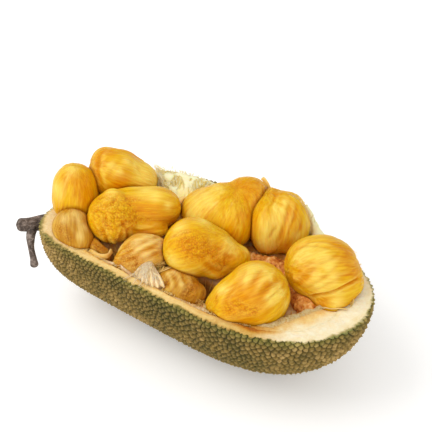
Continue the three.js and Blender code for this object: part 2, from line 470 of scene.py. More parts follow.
# %% Shape of the cut
RIM_STEPS = 520  # points round the rim
PITH_EDGE, PITH_TURN = (110.0, -50.0), math.radians(-39)  # where the thick pith at the tip begins
# Where the cut is painted darker, and how much: (x, y, amount). Juice has stained it at the first
# place; the second is painted shade under the pointed bulb at the near wall.
STAINS_AND_SHADE = [(92.0, -80.0, 0.22), (73.0, -79.0, 0.5)]
STAIN_AND_SHADE_SIZE = 13.0  # mm
BAND_START = 2.6  # the band starts this far inside the fruit's mean outline, mm
rim_turn = np.linspace(0, 2 * math.pi, RIM_STEPS, endpoint=False)
rim_s = -np.cos(rim_turn)
rim_angle = np.where(rim_turn < math.pi, 0.0, math.pi)  # out along the far wall, back along the near


def rim_loop(share):
    """A closed line in the cut, from the skin at share 0 to the inner edge at share 1."""
    return on_pod(rim_s, rim_angle, *(BAND_START + share * (full - BAND_START)
                                      for full in (WALL, TIP_WALL, STEM_WALL)))


def past_pith_edge(points):
    """How far each place lies inside the thick pith at the tip, in mm."""
    return ((points[:, 0] - PITH_EDGE[0]) * math.cos(PITH_TURN)
            + (points[:, 1] - PITH_EDGE[1]) * math.sin(PITH_TURN))


def whiter(inside):
    """The thick pith is yellow where it meets the rags, and whiter towards the rind."""
    return ease(inside, -8, 24)


def cut_level(points):
    """How high the torn surface of the pith stands over the level of the cut, in mm."""
    at_rim = np.column_stack([points[:, :2], np.full(len(points), RIM)])
    return 0.55 * rough_noise(at_rim, 9, 5) + 0.5 * noise(at_rim, 2.6, 6)


def hand_waver(x, y):
    """How far the knife wandered up and down, in mm."""
    return 1.3 * np.sin(x / 31 + 0.6) * np.cos(y / 47)


# %% Loops of the pith band and the inner wall
BAND_STEPS, WALL_STEPS = 11, 26
torn = 1.0 + 0.14 * noise(rim_loop(1), 26, 3) + 0.07 * noise(rim_loop(1), 7, 4)
loops, depths = [], []
for share in np.linspace(0, 1, BAND_STEPS):
    edge_in = ease(share, 0.45, 1.0) * (torn - 1.0)
    loop = rim_loop(share)
    loop += (rim_loop(1) - rim_loop(0)) * edge_in[:, None]
    level = cut_level(loop) * ease(share, 0.0, 0.2)
    thick = ease(past_pith_edge(loop), -6, 6)
    loop[:, 2] += level - 1.6 * (1 - thick) * ease(share, 0.8, 1.0) ** 2
    loops.append(loop)
    # Darker where juice stained the cut, and painted shade under the pointed bulb.
    stain_and_shade = sum(amount * np.exp(-np.sum((loop[:, :2] - (x, y)) ** 2, axis=1) / STAIN_AND_SHADE_SIZE ** 2)
                for x, y, amount in STAINS_AND_SHADE)
    depths.append(0.12 + 0.88 * share * (1 - 0.6 * whiter(past_pith_edge(loop))) + stain_and_shade)
inner_edge = loops[-1]
for step in range(1, WALL_STEPS):
    down = math.pi / 2 * step / WALL_STEPS
    angle = np.where(rim_turn < math.pi, -down, math.pi + down)
    loop = on_pod(rim_s * (1 - 1e-6), angle, WALL, TIP_WALL, STEM_WALL, FLOOR_WALL)
    near_rim = 1 - ease(step, 0, 8)
    loop[:, :2] += (inner_edge - rim_loop(1))[:, :2] * near_rim
    loop[:, 2] += (inner_edge[:, 2] - RIM) * near_rim
    loops.append(loop)
    depths.append(np.ones(RIM_STEPS))

# %% Join the skin, the band and the wall
loop_verts = []
for loop, depth in zip(loops, depths):
    ring = [skin_bm.verts.new(place) for place in loop]
    for vert, inside in zip(ring, depth):
        vert[groove_layer], vert[tint_layer], vert[depth_layer] = 1.0, 0.5, inside
    loop_verts.append(ring)
pith_faces = []
for outer, inner in zip(loop_verts, loop_verts[1:]):
    for n in range(RIM_STEPS):
        after = (n + 1) % RIM_STEPS
        pith_faces.append(skin_bm.faces.new((outer[n], outer[after], inner[after], inner[n])))
keel = loop_verts[-1]
for n in range(RIM_STEPS // 2):
    around_strip = dict.fromkeys((keel[n], keel[n + 1], keel[-n - 1], keel[-n]))
    pith_faces.append(skin_bm.faces.new(around_strip))
band_edge = [skin_bm.edges.get((a, b)) for a, b in
             zip(loop_verts[0], loop_verts[0][1:] + loop_verts[0][:1])]
filled = bmesh.ops.triangle_fill(skin_bm, use_beauty=True, use_dissolve=False, normal=(0, 0, 1),
                                 edges=skin_edge + band_edge)
pith_faces += [f for f in filled["geom"] if isinstance(f, bmesh.types.BMFace)]
for face in pith_faces:
    face.material_index = 1
bmesh.ops.recalc_face_normals(skin_bm, faces=skin_bm.faces[:])
print("pith faces:", len(pith_faces), "open edges:", sum(1 for e in skin_bm.edges if not e.is_manifold))

# %% Rind piece
REST_LEVEL = 0.25  # lowest point of a bump that the table presses flat, mm
for vert in skin_bm.verts:
    vert.co.z += float(hand_waver(vert.co.x, vert.co.y) * ease(vert.co.z, RIM - 30, RIM))
    vert.co.z = max(vert.co.z, REST_LEVEL)
    vert.co *= MM
rind_mesh = bpy.data.meshes.new("bumpy_rind")
skin_bm.to_mesh(rind_mesh)
skin_bm.free()
rind_mesh.shade_smooth()
rind = bpy.data.objects.new("bumpy_rind", rind_mesh)
bpy.context.scene.collection.objects.link(rind)

# %% [markdown]
# ## Rind finishes
# Jackfruit skin is a dry, waxy plant surface: matte, olive on the sides of the bumps, dark green
# down in the grooves, and rubbed brown on the tops. Large soft patches turn from green to brown
# where the fruit lay or rubbed. The skin is also painted paler towards both ends and darker in the
# middle, as painted light and shade. Near the knife's cut it stays greener and brighter. The pith is
# wet cream-white sponge, so light sinks in a little, and it stains tan towards the bulbs.

# %% Skin material
PATCH = 34.0  # size of the green and brown patches, mm
GRAIN = 1.6  # mm; the skin's real grain is finer, and drawn this coarse so that it shows

skin = new_material("waxy_jackfruit_skin")
place = add(skin, "ShaderNodeTexCoord").outputs["Object"]
groove = add(skin, "ShaderNodeAttribute", attribute_name="groove").outputs["Fac"]
tint = add(skin, "ShaderNodeAttribute", attribute_name="tint").outputs["Fac"]
patches = add(skin, "ShaderNodeTexNoise", {"Vector": place, "Scale": 1 / (PATCH * MM), "Detail": 3.0})
grain = add(skin, "ShaderNodeTexNoise", {"Vector": place, "Scale": 1 / (GRAIN * MM), "Detail": 2.0})
patch_and_tint = add(skin, "ShaderNodeMath", {0: tint, 1: 0.4, 2: patches.outputs["Fac"]},
                     operation="MULTIPLY_ADD")
lengthwise = add(skin, "ShaderNodeSeparateXYZ", {"Vector": place}).outputs["X"]
from_middle = add(skin, "ShaderNodeMath", {0: lengthwise, 1: 20 * MM}, operation="SUBTRACT")
towards_ends = add(skin, "ShaderNodeMath", {0: from_middle.outputs[0]}, operation="ABSOLUTE")
# Painted light and shade: the skin is painted paler towards both ends of the fruit and darker in its middle.
painted_light_at_ends = add(skin, "ShaderNodeMapRange", {"Value": towards_ends.outputs[0], "From Min": 60 * MM,
                                           "From Max": 130 * MM, "To Min": -0.1, "To Max": 0.14})
shifted = add(skin, "ShaderNodeMath", {0: patch_and_tint.outputs[0], 1: painted_light_at_ends.outputs[0]})
browner = add(skin, "ShaderNodeMapRange", {"Value": shifted.outputs[0], "From Min": 0.35,
                                           "From Max": 1.05})
side = add(skin, "ShaderNodeValToRGB", {"Fac": browner.outputs[0]},
           stops=[(0.0, "#564d1e"), (0.35, "#6e5c2a"), (0.7, "#8a7036"), (1.0, "#b6965a")])
height = add(skin, "ShaderNodeSeparateXYZ", {"Vector": place}).outputs["Z"]
near_cut = add(skin, "ShaderNodeMapRange", {"Value": height, "From Min": (RIM - 10) * MM,
                                            "From Max": (RIM - 2) * MM, "To Max": 0.7})
fresh = add(skin, "ShaderNodeMath", {0: near_cut.outputs[0], 1: patches.outputs["Fac"]},
            operation="MULTIPLY", use_clamp=True)
fresher = add(skin, "ShaderNodeMix", {"Factor": fresh.outputs[0], "A": side.outputs["Color"],
                                      "B": colour("#8e8e40")}, data_type="RGBA")
in_groove = add(skin, "ShaderNodeValToRGB", {"Fac": groove},
                stops=[(0.0, "#ffffff"), (0.25, "#b8b8b8"), (0.58, "#000000")])
grooved = add(skin, "ShaderNodeMix", {"Factor": in_groove.outputs["Color"],
                                      "A": fresher.outputs["Result"], "B": colour("#25290e")},
              data_type="RGBA")
on_top = add(skin, "ShaderNodeValToRGB", {"Fac": groove}, stops=[(0.62, "#000000"), (0.9, "#b0b0b0"),
                                                                (1.0, "#303030")])
topped = add(skin, "ShaderNodeMix", {"Factor": on_top.outputs["Color"], "A": grooved.outputs["Result"],
                                     "B": colour("#b0955a")}, data_type="RGBA")
speckled = add(skin, "ShaderNodeMix", {"Factor": 0.7, "A": topped.outputs["Result"],
                                       "B": grain.outputs["Fac"]},
               data_type="RGBA", blend_type="SOFT_LIGHT")
roughness = add(skin, "ShaderNodeMapRange", {"Value": grain.outputs["Fac"], "To Min": 0.55, "To Max": 0.8})
bump = add(skin, "ShaderNodeBump", {"Height": grain.outputs["Fac"], "Strength": 0.5, "Distance": 0.4 * MM})
skin_shader = add(skin, "ShaderNodeBsdfPrincipled",
                  {"Base Color": speckled.outputs["Result"], "Roughness": roughness.outputs[0],
                   "Normal": bump.outputs["Normal"], "IOR": 1.45, "Specular IOR Level": 0.2})
add(skin, "ShaderNodeOutputMaterial", {"Surface": skin_shader.outputs["BSDF"]})

# %% Pith material
PITH_FIBRE = 1.5  # mm; the pith's real fibres are finer, and drawn this wide so that they show
PITH_SPOT = 4.0  # size of the darker spots between them, mm
PITH_BLOTCH = 11.0  # size of its soft stains, mm

pith = new_material("wet_cream_pith")
place = add(pith, "ShaderNodeTexCoord").outputs["Object"]
inwards = add(pith, "ShaderNodeAttribute", attribute_name="pith_depth").outputs["Fac"]
blotch = add(pith, "ShaderNodeTexNoise", {"Vector": place, "Scale": 1 / (PITH_BLOTCH * MM), "Detail": 4.0})
fibres = add(pith, "ShaderNodeTexNoise", {"Vector": place, "Scale": 1 / (PITH_FIBRE * MM), "Detail": 3.0,
                                          "Distortion": 0.6})
uneven = add(pith, "ShaderNodeMath", {0: blotch.outputs["Fac"], 1: 0.5, 2: inwards}, operation="MULTIPLY_ADD")
depth_in = add(pith, "ShaderNodeMapRange", {"Value": uneven.outputs[0], "From Min": 0.2, "From Max": 1.4})
cream = add(pith, "ShaderNodeValToRGB", {"Fac": depth_in.outputs[0]},
            stops=[(0.0, "#8a8a48"), (0.07, "#b5a468"), (0.14, "#f3e2b4"), (0.3, "#f9edcd"),
                   (0.6, "#f8e6ba"), (0.76, "#f2d088"), (0.9, "#e6b45e"), (1.0, "#cf8f34")])
# Along the fruit the pith is tinted from the stem towards the tip; the darker stop at 0.84 is painted shade,
# where the bulbs by the near wall shade the band.
along = add(pith, "ShaderNodeSeparateXYZ", {"Vector": place}).outputs["X"]
from_stem = add(pith, "ShaderNodeMapRange", {"Value": along, "From Min": -160 * MM, "From Max": 122 * MM})
tint_and_shade_along = add(pith, "ShaderNodeValToRGB", {"Fac": from_stem.outputs[0]},
          stops=[(0.0, "#f3e8cf"), (0.2, "#f0dcaa"), (0.55, "#f4deaa"), (0.84, "#d6b870"),
                 (0.95, "#ffffff")])
tinted_and_shaded = add(pith, "ShaderNodeMix", {"Factor": 1.0, "A": cream.outputs["Color"], "B": tint_and_shade_along.outputs["Color"]},
             data_type="RGBA", blend_type="MULTIPLY")
spots = add(pith, "ShaderNodeTexNoise", {"Vector": place, "Scale": 1 / (PITH_SPOT * MM), "Detail": 2.0})
spot_tone = add(pith, "ShaderNodeMath", {0: spots.outputs["Fac"], 1: fibres.outputs["Fac"]})
spotted = add(pith, "ShaderNodeMapRange", {"Value": spot_tone.outputs[0], "From Min": 0.7, "From Max": 1.3})
mottled = add(pith, "ShaderNodeMix", {"Factor": 0.35, "A": tinted_and_shaded.outputs["Result"],
                                      "B": spotted.outputs["Result"]},
              data_type="RGBA", blend_type="SOFT_LIGHT")
bump = add(pith, "ShaderNodeBump", {"Height": fibres.outputs["Fac"], "Strength": 0.6, "Distance": 0.7 * MM})
pith_shader = add(pith, "ShaderNodeBsdfPrincipled",
                  {"Base Color": mottled.outputs["Result"], "Roughness": 0.55,
                   "Normal": bump.outputs["Normal"], "IOR": 1.4, "Subsurface Weight": 0.25,
                   "Subsurface Scale": 0.002, "Subsurface Radius": (1.0, 0.75, 0.4)})
add(pith, "ShaderNodeOutputMaterial", {"Surface": pith_shader.outputs["BSDF"]})
rind.data.materials.append(skin)
rind.data.materials.append(pith)
set_down(rind, "rind", "rind_half")

# %% [markdown]
# ## Bulbs: how they are grown
# A bulb is the soft flesh around one seed. It is a fat pod, often with a second swelling or a
# snout, folded and dented where its neighbours pressed it. Joined and sculpted spheres could do,
# but a distance field is easier to steer: a function says how far any point is from the flesh,
# swellings melt into each other, and two bulbs that touch share one flat wall. A net is then laid
# where that distance is zero.

# %% Distance to a bulb
RIM_MIDDLE = np.array([0.0, -BOW, RIM])  # lobes are placed from the middle of the cut
BLEND = 6.0  # how softly two lobes of one bulb run together, mm
CONTACT = 0.4  # space left between two bulbs, mm


def lobe_distance(points, x, y, z, length, width, height, turn):
    """About how far each point is outside an egg-shaped lobe, in mm; less than 0 inside."""
    c, s = math.cos(math.radians(turn)), math.sin(math.radians(turn))
    local = (points - RIM_MIDDLE - (x, y, z)) @ np.array([[c, -s, 0], [s, c, 0], [0, 0, 1]])
    radii = np.array([length, width, height])
    nearness = np.linalg.norm(local / radii, axis=1)
    steepness = np.linalg.norm(local / radii ** 2, axis=1)
    return nearness * (nearness - 1) / np.maximum(steepness, 1e-6)


def lobes_distance(points, lobes, blend=BLEND):
    """The same for several lobes that run softly into each other."""
    total = lobe_distance(points, *lobes[0])
    for lobe in lobes[1:]:
        other = lobe_distance(points, *lobe)
        mix = np.clip(0.5 + 0.5 * (total - other) / blend, 0, 1)
        total = total * (1 - mix) + other * mix - blend * mix * (1 - mix)
    return total


def from_wall(points, inset=0.4):
    """About how far each point is inside the rind's inner wall, in mm."""
    low, high = -HALF_LENGTH + STEM_WALL, HALF_LENGTH - TIP_WALL
    s = (points[:, 0] - (low + high) / 2) / ((high - low) / 2)
    inside = np.clip(s, -0.999, 0.999)
    across = points[:, 1] - middle_line(points[:, 0])
    width = swell(inside, WIDTH_POWERS) * (np.where(across > 0, FAR_WIDTH, NEAR_WIDTH) - WALL)
    depth = swell(inside, DEPTH_POWERS) * (DEPTH - FLOOR_WALL)
    down = np.minimum(points[:, 2] - RIM, 0)
    nearness = np.hypot(across / width, down / depth)
    return np.minimum((1 - nearness) * np.minimum(width, depth), (0.995 - np.abs(s)) * HALF_LENGTH) - inset


def from_rind(points):
    """About how far each point is outside the rind's wall, in mm."""
    return np.maximum(points[:, 2] - RIM, from_wall(points))


def gradient(distance, points, step=0.05):
    """The outward direction of a distance field, and its value."""
    value = distance(points)
    slope = np.stack([distance(points + axis) - value for axis in np.eye(3) * step], axis=1) / step
    return slope, value


# %% Net over a distance field
def settled(distance, points, rounds=2):
    """Points moved onto the surface where the distance is zero."""
    for _ in range(rounds):
        slope, value = gradient(distance, points)
        size = np.maximum(np.sum(slope * slope, axis=1), 0.05)
        points = points - slope * np.clip(value / size, -3, 3)[:, None]
    return points


def biggest_part(faces, count):
    """The faces of the largest of the parts that a net falls into."""
    part, before = np.arange(count), np.full(count, -1)
    while (part != before).any():
        before = part.copy()
        lowest = part[faces].min(axis=1)
        for n in range(4):
            np.minimum.at(part, faces[:, n], lowest)
        part = part[part]
    owner = part[faces[:, 0]]
    return faces[owner == np.bincount(owner).argmax()]


def net_over(distance, low, high, step):
    """A closed net of four-sided faces where the distance changes sign, and its points."""
    axes = [np.arange(a - 2 * step, b + 3 * step, step) for a, b in zip(low, high)]
    grid = np.stack(np.meshgrid(*axes, indexing="ij"), axis=-1)
    inside = (distance(grid.reshape(-1, 3)) < 0).reshape(grid.shape[:3])
    count = sum(inside[i:inside.shape[0] - 1 + i, j:inside.shape[1] - 1 + j, k:inside.shape[2] - 1 + k]
                .astype(int) for i in (0, 1) for j in (0, 1) for k in (0, 1))
    crossed = (count > 0) & (count < 8)
    number = np.full(crossed.shape, -1)
    number[crossed] = np.arange(crossed.sum())
    points = (grid[:-1, :-1, :-1] + step / 2)[crossed]
    faces = []
    for axis in range(3):
        one, two = (axis + 1) % 3, (axis + 2) % 3
        here = np.moveaxis(inside, (axis, one, two), (0, 1, 2))
        cell = np.moveaxis(number, (axis, one, two), (0, 1, 2))
        a, b = here[:-1, 1:-1, 1:-1], here[1:, 1:-1, 1:-1]
        corners = np.stack([cell[:, :-1, :-1], cell[:, 1:, :-1], cell[:, 1:, 1:], cell[:, :-1, 1:]], axis=-1)
        faces.append(corners[a & ~b])
        faces.append(corners[b & ~a][:, ::-1])
    used, faces = np.unique(biggest_part(np.concatenate(faces), len(points)), return_inverse=True)
    points, faces = points[used], faces.reshape(-1, 4)
    edges = np.concatenate([faces[:, [n, (n + 1) % 4]] for n in range(4)])
    share = np.bincount(edges[:, 0], minlength=len(points))[:, None]
    points = settled(distance, points)
    for _ in range(3):
        mean = np.stack([np.bincount(edges[:, 0], points[edges[:, 1], axis], len(points))
                         for axis in range(3)], axis=1) / share
        points = settled(distance, (points + mean) / 2, 1)
    return points, faces


def net_over_lobes(distance, lobes, step):
    """A net over a piece made of lobes, and the outward direction at each of its points."""
    middles = RIM_MIDDLE + np.array([lobe[:3] for lobe in lobes])
    reach = np.array([max(lobe[3:6]) for lobe in lobes])[:, None] + 1
    points, faces = net_over(distance, (middles - reach).min(axis=0), (middles + reach).max(axis=0), step)
    slope, _ = gradient(distance, points)
    return points, faces, unit(slope)


# %% [markdown]
# ## Bulbs: folds, fibres and crumbs
# The flesh is not smooth. Fine fibres run from pole to pole, so the noise that shapes them is
# stretched along the bulb's own axis. Folds and ridges are lines on the surface that push it in or
# out. Their places are given where the camera sees them, in its 433-pixel frame, and a ray from
# the camera carries each one onto the flesh. Patches of colour are placed in the same way.

# %% Where the camera's rays meet a bulb
view_turn = np.array(camera.rotation_euler.to_matrix())
eye = np.array(camera.location) / MM
RAY_STEPS, RAY_START = 120, 200.0  # steps of a ray, and how far before the fruit it starts, mm


def seen_on(distance, places):
    """The points of the flesh that the camera sees at these places of its frame."""
    places = np.array(places, float).reshape(-1, 2)
    middle = PICTURE_PIXELS / 2
    rays = np.column_stack([places[:, 0] - middle, middle - places[:, 1],
                            np.full(len(places), -FOCAL_PIXELS)]) @ view_turn.T
    rays = unit(rays)
    travel = np.full(len(places), DISTANCE - RAY_START)
    best, nearest = travel.copy(), np.full(len(places), 1e9)
    for _ in range(RAY_STEPS):
        gap = distance(eye + rays * travel[:, None])
        closer = gap < nearest
        best, nearest = np.where(closer, travel, best), np.minimum(gap, nearest)
        travel = np.where(gap > 0.05, travel + np.maximum(gap * 0.7, 0.2), travel)
    return settled(distance, eye + rays * best[:, None])


def smooth_line(stops, count):
    """A smooth curve through the stops."""
    stops = np.array(stops, float)
    stops = np.vstack([2 * stops[0] - stops[1], stops, 2 * stops[-1] - stops[-2]])
    share = np.linspace(0, len(stops) - 3 - 1e-6, count)
    n, t = share.astype(int), (share % 1)[:, None]
    a, b, c, d = (stops[n + k] for k in range(4))
    square, cube = 2 * a - 5 * b + 4 * c - d, 3 * b - a - 3 * c + d
    return 0.5 * (2 * b + (c - a) * t + square * t ** 2 + cube * t ** 3)


def along_line(points, outward, line):
    """Each point's distance to a bent line, how far along it that is, and its side of the line."""
    nearest = np.full(len(points), 1e9)
    share_at, side = np.zeros(len(points)), np.zeros(len(points))
    run = np.concatenate([[0], np.cumsum(np.linalg.norm(np.diff(line, axis=0), axis=1))])
    for n, (start, end) in enumerate(zip(line, line[1:])):
        along = end - start
        share = np.clip((points - start) @ along / max(along @ along, 1e-6), 0, 1)
        away = points - start - share[:, None] * along
        distance = np.linalg.norm(away, axis=1)
        closer = distance < nearest
        nearest = np.where(closer, distance, nearest)
        share_at = np.where(closer, (run[n] + share * (run[n + 1] - run[n])) / run[-1], share_at)
        side = np.where(closer, np.sign(np.sum(np.cross(along, outward) * away, axis=1)), side)
    return nearest, share_at, side


# %% Fibres and patches on a bulb
FIBRE_STRETCH = 9.0  # fibres are this many times longer than wide
CONVERGE = 0.6  # 1 where fibres meet at the poles, 0 where they stay side by side


def fibre_places(points, lobe, axis):
    """Places in which noise becomes streaks from one pole of the bulb to the other."""
    axis = unit(np.array(axis, float))
    middle, size = RIM_MIDDLE + np.array(lobe[:3]), np.mean(lobe[3:6])
    along = (points - middle) @ axis
    out = points - middle - along[:, None] * axis
    out *= ((size / np.maximum(np.linalg.norm(out, axis=1), 1.0)) ** CONVERGE)[:, None]
    return out + along[:, None] * axis / FIBRE_STRETCH


def patches_at(points, distance, patches, streaks):
    """1 in the middle of each (right, down, size) patch, falling off with a streaky edge."""
    if not patches:
        return np.zeros(len(points))
    centres = seen_on(distance, [patch[:2] for patch in patches])
    waver = 1 + 0.45 * noise(streaks, 5, 11) + 0.25 * noise(streaks, 1.8, 12)
    clear = np.ones(len(points))
    for centre, patch in zip(centres, patches):
        away = np.linalg.norm(points - centre, axis=1) * waver
        clear *= 1 - np.exp(-(away / patch[2]) ** 2)
    return 1 - clear


# %% Folds on a bulb
LIP = 0.35  # a fold's upper side stands up by this share of the fold's depth
LIP_REACH = 4.0  # how many of its widths a fold's upper side reaches


def press_folds(folds, distance, points, outward, channels, seed):
    """How far the folds move each point, in mm, and how much shade is painted into their creases.
    Along each fold's line the flesh is painted deeper in colour, as painted shade, and a little
    further out pale, as a painted highlight on its lips."""
    level, shade = np.zeros((2, len(points)))
    for depth, width, line in folds:
        stops = seen_on(distance, smooth_line(line, 4 * len(line)))
        away, share, side = along_line(points, outward, stops)
        away *= (1 + 0.25 * noise(points, 4, seed)) / width
        strength = depth * np.sin(math.pi * np.clip(share, 0.03, 0.97)) ** 0.7
        groove = np.exp(-away ** 2)
        upper = (side > 0) & (depth > 0)
        level += strength * (np.where(upper, LIP * (1 - groove) * np.exp(-away / LIP_REACH), 0) - groove)
        shade += 0.45 * np.maximum(strength, 0) * np.exp(-(away / 0.5) ** 2)
        # Painted shade along the fold's line and a painted highlight on its lips.
        tinge = np.clip(strength / 2, 0, 1)
        channels["pale"] += 0.5 * tinge * np.exp(-((away - 2) / 0.8) ** 2)
        channels["orange"] += 0.8 * tinge * np.exp(-(away / 1.2) ** 2)
    return level, shade


# %% One bulb
NET_STEP = 0.85  # size of the net's faces, mm
WAVE = 5.5  # width of the soft ridges that run along the fibres, mm
LUMPS = 0.7  # height of the broad soft lumps, mm
CRUMPLE = 1.0  # depth of the creases where the skin is torn and crumpled, mm


def near_each_other(some, others):
    """Whether any lobe of one bulb comes near any lobe of the other."""
    reach = max(max(lobe[3:6]) for lobe in some) + 4
    return any(np.linalg.norm(np.array(other[:3]) - lobe[:3]) < reach + max(other[3:6])
               for other in others for lobe in some)


def grow_bulb(name, seed, lobes, axis, orange=(), pale=(), rough=(), folds=(), fibre=0.3, waves=0.4):
    """The net of one bulb, with its folds, fibres and colour patches, and the shade and highlights painted on
    it.
    """
    everyone = [spec["lobes"] for spec in BULBS.values()]
    own_place = list(BULBS).index(name)
    firmer, softer = [[other for other in group if near_each_other(lobes, other)]
                      for group in (everyone[:own_place], everyone[own_place + 1:])]

    def own(points):
        return lobes_distance(points, lobes)

    def pressed(points):
        return np.maximum.reduce([own(points), CONTACT - from_rind(points)]
                                 + [CONTACT - lobes_distance(points, other) for other in firmer])

    points, faces, outward = net_over_lobes(pressed, lobes, NET_STEP)
    room = np.minimum.reduce([np.full(len(points), 9.0), from_rind(points)]
                             + [lobes_distance(points, other) for other in firmer + softer])
    free = 0.25 + 0.75 * ease(room, 0.5, 3.5)
    streaks = fibre_places(points, lobes[0], axis)
    # Orange patches are partly painted shade, and many pale ones are painted highlights.
    channels = {"rough": patches_at(points, own, rough, streaks),
                "orange": patches_at(points, own, orange, streaks),
                "pale": patches_at(points, own, pale, streaks)}
    wave = noise(streaks, WAVE, seed + 1)
    level = LUMPS * noise(points, 17, seed) + waves * wave
    # Painted shade and highlight: the troughs of the ridges are painted orange and their crests pale.
    channels["orange"] += 0.4 * waves * np.clip(-wave, 0, 1)
    channels["pale"] += 0.35 * waves * np.clip(wave, 0, 1)
    level += fibre * (0.7 * noise(streaks, 2.4, seed + 2) + 0.5 * noise(streaks, 1.2, seed + 3))
    wrinkled = ease(noise(points, 13, seed + 8), -0.3, 0.4)
    wrinkles = np.exp(-(noise(streaks, 7, seed + 7) / 0.08) ** 2) * wrinkled
    level -= 1.6 * fibre * wrinkles
    crumbs = 0.8 * noise(points, 3.4, seed + 4) + 0.8 * noise(points, 1.8, seed + 5)
    crumples = np.exp(-(noise(points, 8, seed + 9) / 0.14) ** 2)
    level += channels["rough"] * (crumbs - 0.4 - CRUMPLE * crumples)
    # Painted shade in the wrinkles and the crumpled creases.
    shade = 0.5 * fibre * wrinkles + 0.4 * channels["rough"] * crumples
    moved, fold_shade = press_folds(folds, own, points, outward, channels, seed + 6)
    level, shade = level + moved, shade + fold_shade
    points = points + outward * (level * free)[:, None]
    bulb = new_piece("golden_" + name, points, faces)
    for channel, values in channels.items():
        paint(bulb, channel, np.clip(values, 0, 1))
    # Painted shade in the creases of the folds, wrinkles and crumples.
    paint(bulb, "crease_shade", np.clip(shade / 1.6, 0, 1))
    # Painted contact shade: the flesh is painted darker where it comes near a neighbour or the wall.
    paint(bulb, "contact_shade", 1 - ease(room, 0, 4))
    paint(bulb, "streaks", streaks)
    return bulb
